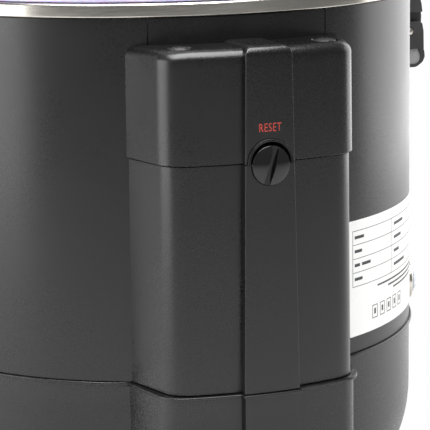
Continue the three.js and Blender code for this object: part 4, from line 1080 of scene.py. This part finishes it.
ticks = bmesh.new()
TICK_IN, TICK_OUT = KNOB_R + 2, KNOB_R + 4.5
for k in range(13):
    across = math.radians(-150 + 25 * k)
    tick = box(-0.3, 0.3, TICK_IN, TICK_OUT, 0, 0.05)
    bmesh.ops.rotate(tick, verts=tick.verts, cent=(0, 0, 0), matrix=Matrix.Rotation(across, 3, "Z"))
    for v in tick.verts:
        spot = front_spot(FRONT_R + 0.03 + v.co.z, math.degrees(v.co.x / FRONT_R))
        v.co = (spot.x, spot.y, KNOB_Z + v.co.y)
    spare = bpy.data.meshes.new("tick")
    tick.to_mesh(spare)
    tick.free()
    ticks.from_mesh(spare)
    bpy.data.meshes.remove(spare)
bmesh.ops.recalc_face_normals(ticks, faces=ticks.faces)
# Pad-printed pale ink.
white_ink = material("pad_printed_white_ink", "d8d8d6", 0.5, 0.5, mottle=0.08, bump=0.002)
piece(ticks, "dial_ticks", "base", "label_film", white_ink, smooth=20)


# ---- resettable thermal cutout -----------------------------------------------------------------
# A black phenolic block with a round neck on the rear panel behind the reset cap, and the red
# button that is pressed in to reset it once the cap has been drawn off.
black_phenolic = material("black_phenolic", "1d1b1a", 0.38, 0.8, mottle=0.2, bump=0.01)
cutout_low, cutout_high = corners("thermal_cutout")
RESET_STEM_R = 3
button_low, button_high = corners("reset_button")
block_body = box(-17, 17, -11, 11, cutout_low.y, cutout_low.y + 9.4)
bmesh.ops.bevel(block_body, geom=block_body.edges[:], offset=1.2,
                affect="EDGES", segments=4, profile=0.5, material=-1)
neck = turned(rounded([
    (0, cutout_low.y + 6), (8, cutout_low.y + 6), (8, cutout_high.y), (0, cutout_high.y),
], [0, 0, 0.8, 0], closed=False), 96, closed=False)
neck = combined(block_body, neck, "UNION")
bore = post(RESET_STEM_R + SLIDE, SHELL_R + 4, SHELL_R + 40, 64)
cutout = placed(combined(neck, bore), outward(0, RESET_Z))
piece(cutout, "reset_cutout", "base", "gloss_black", black_phenolic, "thermal_cutout")
# Red moulded nylon.
red_nylon = material("red_moulded_nylon", "b3221d", 0.35, 0.5, mottle=0.1, bump=0.006)
stud = turned(rounded([
    (0, button_low.y), (button_high.x, button_low.y), (button_high.x, button_high.y), (0, button_high.y),
], [0, 0.2, 1.0, 0], closed=False), 64, closed=False)
piece(placed(stud, outward(0, RESET_Z)), "reset_stud", "reset", "red_plastic", red_nylon, "reset_button")
# Rubber washer carried behind the cap.
seal_low, seal_high = corners("reset_cap_seal")
cap_washer = turned(rounded([
    (5.5, seal_low.y), (seal_high.x, seal_low.y), (seal_high.x, seal_high.y), (5.5, seal_high.y),
], 0.5), 96)
cap_washer = placed(cap_washer, outward(0, RESET_Z))
piece(cap_washer, "cap_washer", "cap_seal", "rubber", black_rubber, "reset_cap_seal")


# ---- liner and locking ring --------------------------------------------------------------------
# Spun aluminium liner hung inside the shell, and the pressed stainless ring on top of it whose
# six teeth hold the lid down.
def ring_of(points, radius, steps=200, closed=True):
    """A turned piece from (radius, height) corners with its corners rounded."""
    return turned(rounded(points, radius, closed=closed), steps, closed=closed)


spun_aluminium = material(
    "spun_aluminium", "b4b5b6", 0.34, 0.5,
    mottle=0.1, bump=0.01, rough_spread=0.08, stretch=(0.12, 0.12, 1), Metallic=1.0,
)
liner_low, liner_high = corners("pot_liner")
LINER_R = SHELL_R - 14
liner = ring_of([
    (26, liner_low.z), (LINER_R - 8, liner_low.z), (LINER_R, liner_low.z + 8), (LINER_R, liner_high.z - 1.2),
    (SHELL_R - 7, liner_high.z - 1.2), (SHELL_R - 7, liner_high.z), (LINER_R - 1.2, liner_high.z),
    (LINER_R - 1.2, liner_low.z + 8.5), (LINER_R - 8.5, liner_low.z + 1.2), (26, liner_low.z + 1.2),
], [0.2, 6, 6, 1.5, 0.4, 0.4, 2.5, 5, 5, 0.2])
piece(liner, "spun_liner", "base", "aluminium", spun_aluminium, "pot_liner")

ring_low, ring_high = corners("locking_ring")
TOOTH_HALF = 10.5         # half angle of a tooth or lug, in degrees
LUG_R = LINER_R - 5
TOOTH_R = LUG_R - 5 + 1.4


def toothed(r_from, r_to, tips, middle, z0, z1):
    """A flat ring with six teeth, cut from one outline, its corners left for the caller to ease."""
    outline = []
    for i in range(6):
        centre = middle + 60 * i
        for k in range(-30, 31):
            angle = centre + k
            near = abs(k) <= TOOTH_HALF
            outline.append(polar(tips if near else r_from, angle))
    bm = bmesh.new()
    inner = [bm.verts.new((x, y, z0)) for x, y in outline]
    count = len(inner)
    outer = [bm.verts.new((*polar(r_to, math.degrees(math.atan2(x, y))), z0)) for x, y in outline]
    top_in = [bm.verts.new((v.co.x, v.co.y, z1)) for v in inner]
    top_out = [bm.verts.new((v.co.x, v.co.y, z1)) for v in outer]
    for i in range(count):
        j = (i + 1) % count
        bm.faces.new((inner[i], inner[j], outer[j], outer[i]))
        bm.faces.new((top_in[i], top_in[j], top_out[j], top_out[i]))
        bm.faces.new((inner[i], inner[j], top_in[j], top_in[i]))
        bm.faces.new((outer[i], outer[j], top_out[j], top_out[i]))
    bmesh.ops.recalc_face_normals(bm, faces=bm.faces)
    return bm


pressed_stainless = material(
    "pressed_stainless", "bdbcb8", 0.27, 0.6, mottle=0.08, bump=0.006, rough_spread=0.08, Metallic=1.0,
)
ring = toothed(LUG_R + 2, SHELL_R - 8.05, TOOTH_R + 0.05, 30, ring_low.z, ring_high.z)
piece(eased(ring, 0.5), "toothed_ring", "base", "stainless", pressed_stainless, "locking_ring")


# ---- heating plate, sensor and pressure switch -------------------------------------------------
# Die-cast aluminium plate under the pot with a sprung temperature sensor in its middle, a
# steel bracket that guides the sensor's stem, and a sealed pressure switch.
cast_aluminium = material(
    "die_cast_aluminium", "9fa0a1", 0.45, 1.2, mottle=0.14, bump=0.03, rough_spread=0.1, Metallic=1.0,
)
plate_low, plate_high = corners("heating_plate")
plate_r, plate_top = plate_high.x, plate_high.z
disc = ring_of([
    (19.5, plate_top - 9.7), (19.5, plate_top), (plate_r, plate_top), (plate_r, plate_top - 6),
    (plate_r - 8, plate_low.z), (26, plate_low.z),
], [1, 1, 1.5, 2.5, 3, 2])
piece(disc, "cast_plate", "base", "aluminium", cast_aluminium, "heating_plate")
SENSOR_STEM_R = 7
guide_low, guide_high = corners("sensor_bracket")
guide = box(guide_low.x, guide_high.x, guide_low.y, guide_high.y, guide_low.z, guide_high.z)
bmesh.ops.bevel(guide, geom=[e for e in guide.edges if abs(e.verts[0].co.z - e.verts[1].co.z) > 0.1],
                offset=5, affect="EDGES", segments=6, profile=0.5, material=-1)
guide = combined(eased(guide, 0.4), post(SENSOR_STEM_R + SLIDE, guide_low.z - 5, guide_high.z + 5, 64))
piece(guide, "sensor_guide", "base", "stainless", pressed_stainless, "sensor_bracket")
sensor_low, sensor_high = corners("temperature_sensor")
probe = ring_of([
    (0, sensor_low.z), (SENSOR_STEM_R, sensor_low.z), (SENSOR_STEM_R, sensor_high.z - 9),
    (18, sensor_high.z - 9), (18, sensor_high.z), (0, sensor_high.z),
], [0, 0.8, 1.2, 0.8, 1.4, 0], steps=128, closed=False)
piece(probe, "sensor_probe", "sensor", "aluminium", spun_aluminium, "temperature_sensor")
switch_low, switch_high = corners("pressure_switch")
switch_x = (switch_low.x + switch_high.x) / 2
switch_body = ring_of([
    (0, switch_low.z), (9, switch_low.z), (9, switch_low.z + 5), (13.9, switch_low.z + 5),
    (13.9, switch_high.z), (0, switch_high.z),
], [0, 0.8, 0.4, 0.8, 0.6, 0], steps=96, closed=False)
shift(switch_body, (switch_x, 0, 0))
piece(switch_body, "sealed_switch", "base", "black_plastic", black_phenolic, "pressure_switch")
# Stainless spring wire under the sensor.
spring_wire = material("stainless_spring_wire", "a9a9a7", 0.25, 0.2, mottle=0.06, bump=0.003, Metallic=1.0)
spring_low, spring_high = corners("sensor_spring")
WIRE_R, COIL_R, COIL_TURNS = 0.8, 11, 3
DRAWN_R = WIRE_R - 0.03    # keeps the wire clear of the sensor and the liner
coil_bottom, coil_top = spring_low.z + WIRE_R + 0.02, spring_high.z - WIRE_R - 0.02
coil = bmesh.new()
rings = []
steps = COIL_TURNS * 48
for i in range(steps + 1):
    across = 2 * math.pi * COIL_TURNS * i / steps
    height = coil_bottom + (coil_top - coil_bottom) * i / steps
    row = []
    for k in range(12):
        round_by = 2 * math.pi * k / 12
        r = COIL_R + DRAWN_R * math.cos(round_by)
        rise = DRAWN_R * math.sin(round_by)
        row.append(coil.verts.new((r * math.cos(across), r * math.sin(across), height + rise)))
    rings.append(row)
for first, second in zip(rings, rings[1:]):
    for k in range(12):
        coil.faces.new((first[k], first[(k + 1) % 12], second[(k + 1) % 12], second[k]))
coil.faces.new(rings[0])
coil.faces.new(rings[-1])
bmesh.ops.recalc_face_normals(coil, faces=coil.faces)
coil = piece(coil, "sensor_coil", "base", "stainless", spring_wire, "sensor_spring")
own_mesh(coil)


# ---- inner pot ---------------------------------------------------------------------------------
# Deep-drawn aluminium pot with a flat flange that hangs in the mouth of the cooker; satin
# finished, with fine marks running round it.
pot_low, pot_high = corners("inner_pot")
FLANGE_R = pot_high.x
POT_R = FLANGE_R - 11.8
POT_WALL = 1.6
pot_outside = [
    (0, pot_low.z), (POT_R - 15, pot_low.z), (POT_R, pot_low.z + 13), (POT_R, pot_high.z - POT_WALL),
    (FLANGE_R, pot_high.z - POT_WALL), (FLANGE_R, pot_high.z), (POT_R - POT_WALL, pot_high.z),
    (POT_R - POT_WALL, pot_low.z + 14), (POT_R - 15.6, pot_low.z + POT_WALL), (0, pot_low.z + POT_WALL),
]
pot = turned(rounded(pot_outside, [0, 8, 9, 0.6, 0.5, 0.5, 1.6, 8, 7, 0], closed=False), 220, closed=False)
piece(pot, "drawn_pot", "pot", "aluminium", spun_aluminium, "inner_pot")


# ---- lid ---------------------------------------------------------------------------------------
# A pressed stainless plate with six lugs carries the pressure; a domed black cover sits over
# it, held by a central nut, and the sealing ring is pushed into the plate's wall.
cover_low, cover_high = corners("lid_cover")
LID_R, LID_TOP, LID_FOOT = cover_high.x, cover_high.z, cover_low.z
LID_WALL = 2.6
valve_low, valve_high = corners("valve_stem")
VALVE_AT = Vector(((valve_low.x + valve_high.x) / 2, (valve_low.y + valve_high.y) / 2, 0))
STEM_R = (valve_high.x - valve_low.x) / 2
float_low, float_high = corners("float_pin")
FLOAT_AT = Vector(((float_low.x + float_high.x) / 2, (float_low.y + float_high.y) / 2, 0))
PIN_BODY_R = 3


def dome_curve(grow):
    """The lid cover's side view, from the crown out and down to its foot."""
    shares = [(0, 0), (0.32, 1), (0.62, 6), (0.86, 16), (0.965, 27), (1, 36.5)]
    return [(share * (LID_R + grow), LID_TOP + grow - drop) for share, drop in shares]


def smooth_line(points, count):
    """A smooth line through points, kept inside the line by the piece's own flat chords."""
    line = []
    last = len(points) - 1
    for i in range(last):
        before, a, b, after = (Vector(points[max(0, min(last, i + k))]) for k in (-1, 0, 1, 2))
        for k in range(count):
            t = k / count
            line.append(tuple(0.5 * (2 * a + (b - before) * t + (2 * before - 5 * a + 4 * b - after) * t ** 2
                                     + (3 * a - before - 3 * b + after) * t ** 3)))
    return line + [tuple(points[-1])]


def well(r, place, z0=0, z1=600):
    """A round cutter standing at a place on the lid."""
    bm = turned([(0, z0), (r, z0), (r, z1), (0, z1)], 64, closed=False)
    shift(bm, place)
    return bm


outside = smooth_line(dome_curve(-0.15), 6)
inside = smooth_line(dome_curve(-LID_WALL), 6)
foot = [outside[-1], (outside[-1][0], LID_FOOT), (inside[-1][0], LID_FOOT), inside[-1]]
foot = rounded(foot, [0, 0.9, 0.5, 0], closed=False)
dome = turned(outside + foot[1:-1] + inside[::-1], 220, closed=False)
for r, place in ((STEM_R + 1.5, VALVE_AT), (PIN_BODY_R + 1.5, FLOAT_AT)):
    dome = combined(dome, well(r, place))
piece(eased(dome, 0.3), "domed_cover", "lid", "black_plastic", moulded_black, "lid_cover", smooth=50)

lid_low, lid_high = corners("lid_plate")
DOME_R = LUG_R - 5
DOME_TOP = lid_high.z
dome_side = [
    (0, DOME_TOP), (DOME_R - 76, DOME_TOP - 2), (DOME_R - 24, DOME_TOP - 10), (DOME_R - 5, ring_high.z),
    (DOME_R, ring_low.z - 1.5), (DOME_R, lid_low.z), (DOME_R - 3, lid_low.z), (DOME_R - 3, ring_low.z - 2.5),
    (DOME_R - 6.5, ring_high.z - 2), (DOME_R - 25, DOME_TOP - 12), (DOME_R - 76, DOME_TOP - 4),
    (0, DOME_TOP - 2),
]
dome_side = rounded(dome_side, [0, 20, 12, 3, 3, 0.5, 0.5, 2.5, 2.5, 12, 20, 0], closed=False)
plate_body = turned(dome_side, 220, closed=False)
for i in range(6):
    lug = sector_block(TOOTH_HALF, DOME_R - 2, LUG_R, lid_low.z, lid_low.z + 3, 0)
    spin(lug, 60 * i, "Z")
    plate_body = combined(plate_body, lug, "UNION")
plate_body = combined(plate_body, well(STEM_R + 0.2, VALVE_AT))
plate_body = combined(plate_body, well(PIN_BODY_R + 0.35, FLOAT_AT))
piece(plate_body, "lugged_plate", "lid", "stainless", pressed_stainless, "lid_plate")
nut_low, nut_high = corners("lid_centre_nut")
nut = [(0, nut_low.z), (11, nut_low.z), (11, nut_high.z), (0, nut_high.z)]
nut = ring_of(nut, [0, 0.8, 0.8, 0], steps=96, closed=False)
piece(nut, "centre_nut", "lid", "stainless", pressed_stainless, "lid_centre_nut")
# Translucent white silicone.
white_silicone = material(
    "white_silicone", "e4e2dc", 0.55, 0.7, mottle=0.04, bump=0.008, Subsurface_Weight=0.15,
)
lip_low, lip_high = corners("sealing_ring")
lip = ring_of([
    (POT_R - 1, lip_low.z), (lip_high.x, lip_low.z), (lip_high.x, lip_high.z), (DOME_R - 9, lip_high.z),
    (DOME_R - 9, lip_low.z + 2.8), (POT_R - 1, lip_low.z + 1.8),
], [0.5, 1.2, 1.2, 1.0, 1.0, 0.4])
piece(lip, "lip_seal", "seal", "white_silicone", white_silicone, "sealing_ring")


# ---- steam valve, float and shield -------------------------------------------------------------
# A turned steel stem with a black moulded knob on it, a red float pin with its silicone
# washer, and a slotted steel shield over the stem's mouth under the lid.
stem = [(1.5, valve_low.z), (STEM_R, valve_low.z), (STEM_R, valve_high.z), (1.5, valve_high.z)]
stem = ring_of(stem, [0.3, 0.6, 0.8, 0.3], steps=96)
shift(stem, VALVE_AT)
piece(stem, "turned_stem", "lid", "stainless", pressed_stainless, "valve_stem")
knob_z = corners("steam_valve_knob")[0].z
weight = [(0, knob_z), (15, knob_z), (15, knob_z + 9), (12, knob_z + 14.5), (0, knob_z + 14.5)]
weight = ring_of(weight, [0, 0.8, 2.5, 2.5, 0], steps=128, closed=False)
tongue = box(6, 24, -5, 5, knob_z + 2, knob_z + 10)
bmesh.ops.bevel(tongue, geom=[e for e in tongue.edges if e.verts[0].co.x > 20 or e.verts[1].co.x > 20],
                offset=1.6, affect="EDGES", segments=4, profile=0.5, material=-1)
weight = combined(weight, tongue, "UNION")
weight = combined(weight, well(STEM_R + 0.3, Vector((0, 0, 0)), knob_z - 2, valve_high.z + 0.3))
shift(weight, VALVE_AT)
piece(weight, "valve_knob", "steam_valve", "black_plastic", moulded_black, "steam_valve_knob")
pin_body = ring_of([
    (0, float_low.z), (5.5, float_low.z), (5.5, float_low.z + 1.5), (PIN_BODY_R, float_low.z + 1.5),
    (PIN_BODY_R, float_high.z), (0, float_high.z),
], [0, 0.4, 0.4, 0.2, 0.9, 0], steps=64, closed=False)
shift(pin_body, FLOAT_AT)
piece(pin_body, "float_stud", "float", "red_plastic", red_nylon, "float_pin")
wash_low, wash_high = corners("float_seal")
wash = [(3.25, wash_low.z), (6, wash_low.z), (6, wash_high.z), (3.25, wash_high.z)]
wash = ring_of(wash, [0.3, 0.6, 0.6, 0.3], steps=64)
shift(wash, FLOAT_AT)
piece(wash, "float_washer", "float", "white_silicone", white_silicone, "float_seal")
shield_low, shield_high = corners("anti_block_shield")
cup = ring_of([
    (0, shield_low.z), (11, shield_low.z), (11, shield_high.z), (9, shield_high.z), (9, shield_low.z + 2),
    (0, shield_low.z + 2),
], [0, 0.8, 0.5, 0.5, 0.8, 0], steps=96, closed=False)
for k in range(3):
    slit = box(-12, 12, -2.5, 2.5, shield_low.z + 4, shield_low.z + 10)
    spin(slit, 60 * k, "Z")
    cup = combined(cup, slit)
shift(cup, VALVE_AT)
piece(cup, "slotted_cup", "lid", "stainless", pressed_stainless, "anti_block_shield")


# ---- lid grip ----------------------------------------------------------------------------------
# An arched grip moulded in glossy black plastic, seated on the lid's curve.
LEG_OUT, LEG_IN, GRIP_RISE, GRIP_HALF = 68, 44, 28, 15
grip_top = LID_TOP + GRIP_RISE


def bend(a, b, c, count=12):
    """Points along the curve from a to c that leans towards b."""
    return [((1 - t) ** 2 * a[0] + 2 * t * (1 - t) * b[0] + t * t * c[0],
             (1 - t) ** 2 * a[1] + 2 * t * (1 - t) * b[1] + t * t * c[1])
            for t in (k / count for k in range(count + 1))]


half_under = bend((LEG_IN, LID_TOP + 8), (LEG_IN - 2, grip_top - 13), (LEG_IN - 16, grip_top - 12))
half_over = bend((LEG_OUT, LID_TOP - 14), (LEG_OUT - 2, grip_top - 3), (LEG_IN - 10, grip_top))
side_points = [(LEG_IN, LID_TOP - 14)] + half_under
side_points += [(-x, z) for x, z in half_under[::-1]] + [(-LEG_IN, LID_TOP - 14)]
side_points += [(-x, z) for x, z in half_over] + half_over[::-1]
arch = bmesh.new()
face = arch.faces.new([arch.verts.new((x, -GRIP_HALF, z)) for x, z in side_points])
extruded(arch, [face], (0, 2 * GRIP_HALF, 0))
bmesh.ops.remove_doubles(arch, verts=arch.verts, dist=0.01)
bmesh.ops.recalc_face_normals(arch, faces=arch.faces)
arch = eased(arch, 2.2)
seat = [(0, LID_FOOT - 20), (LID_R + 0.2, LID_FOOT - 20)] + smooth_line(dome_curve(0.25), 6)[::-1]
seat = turned(seat, 220, closed=False)
piece(combined(arch, seat), "arched_grip", "lid", "gloss_black", gloss_black, "lid_grip")
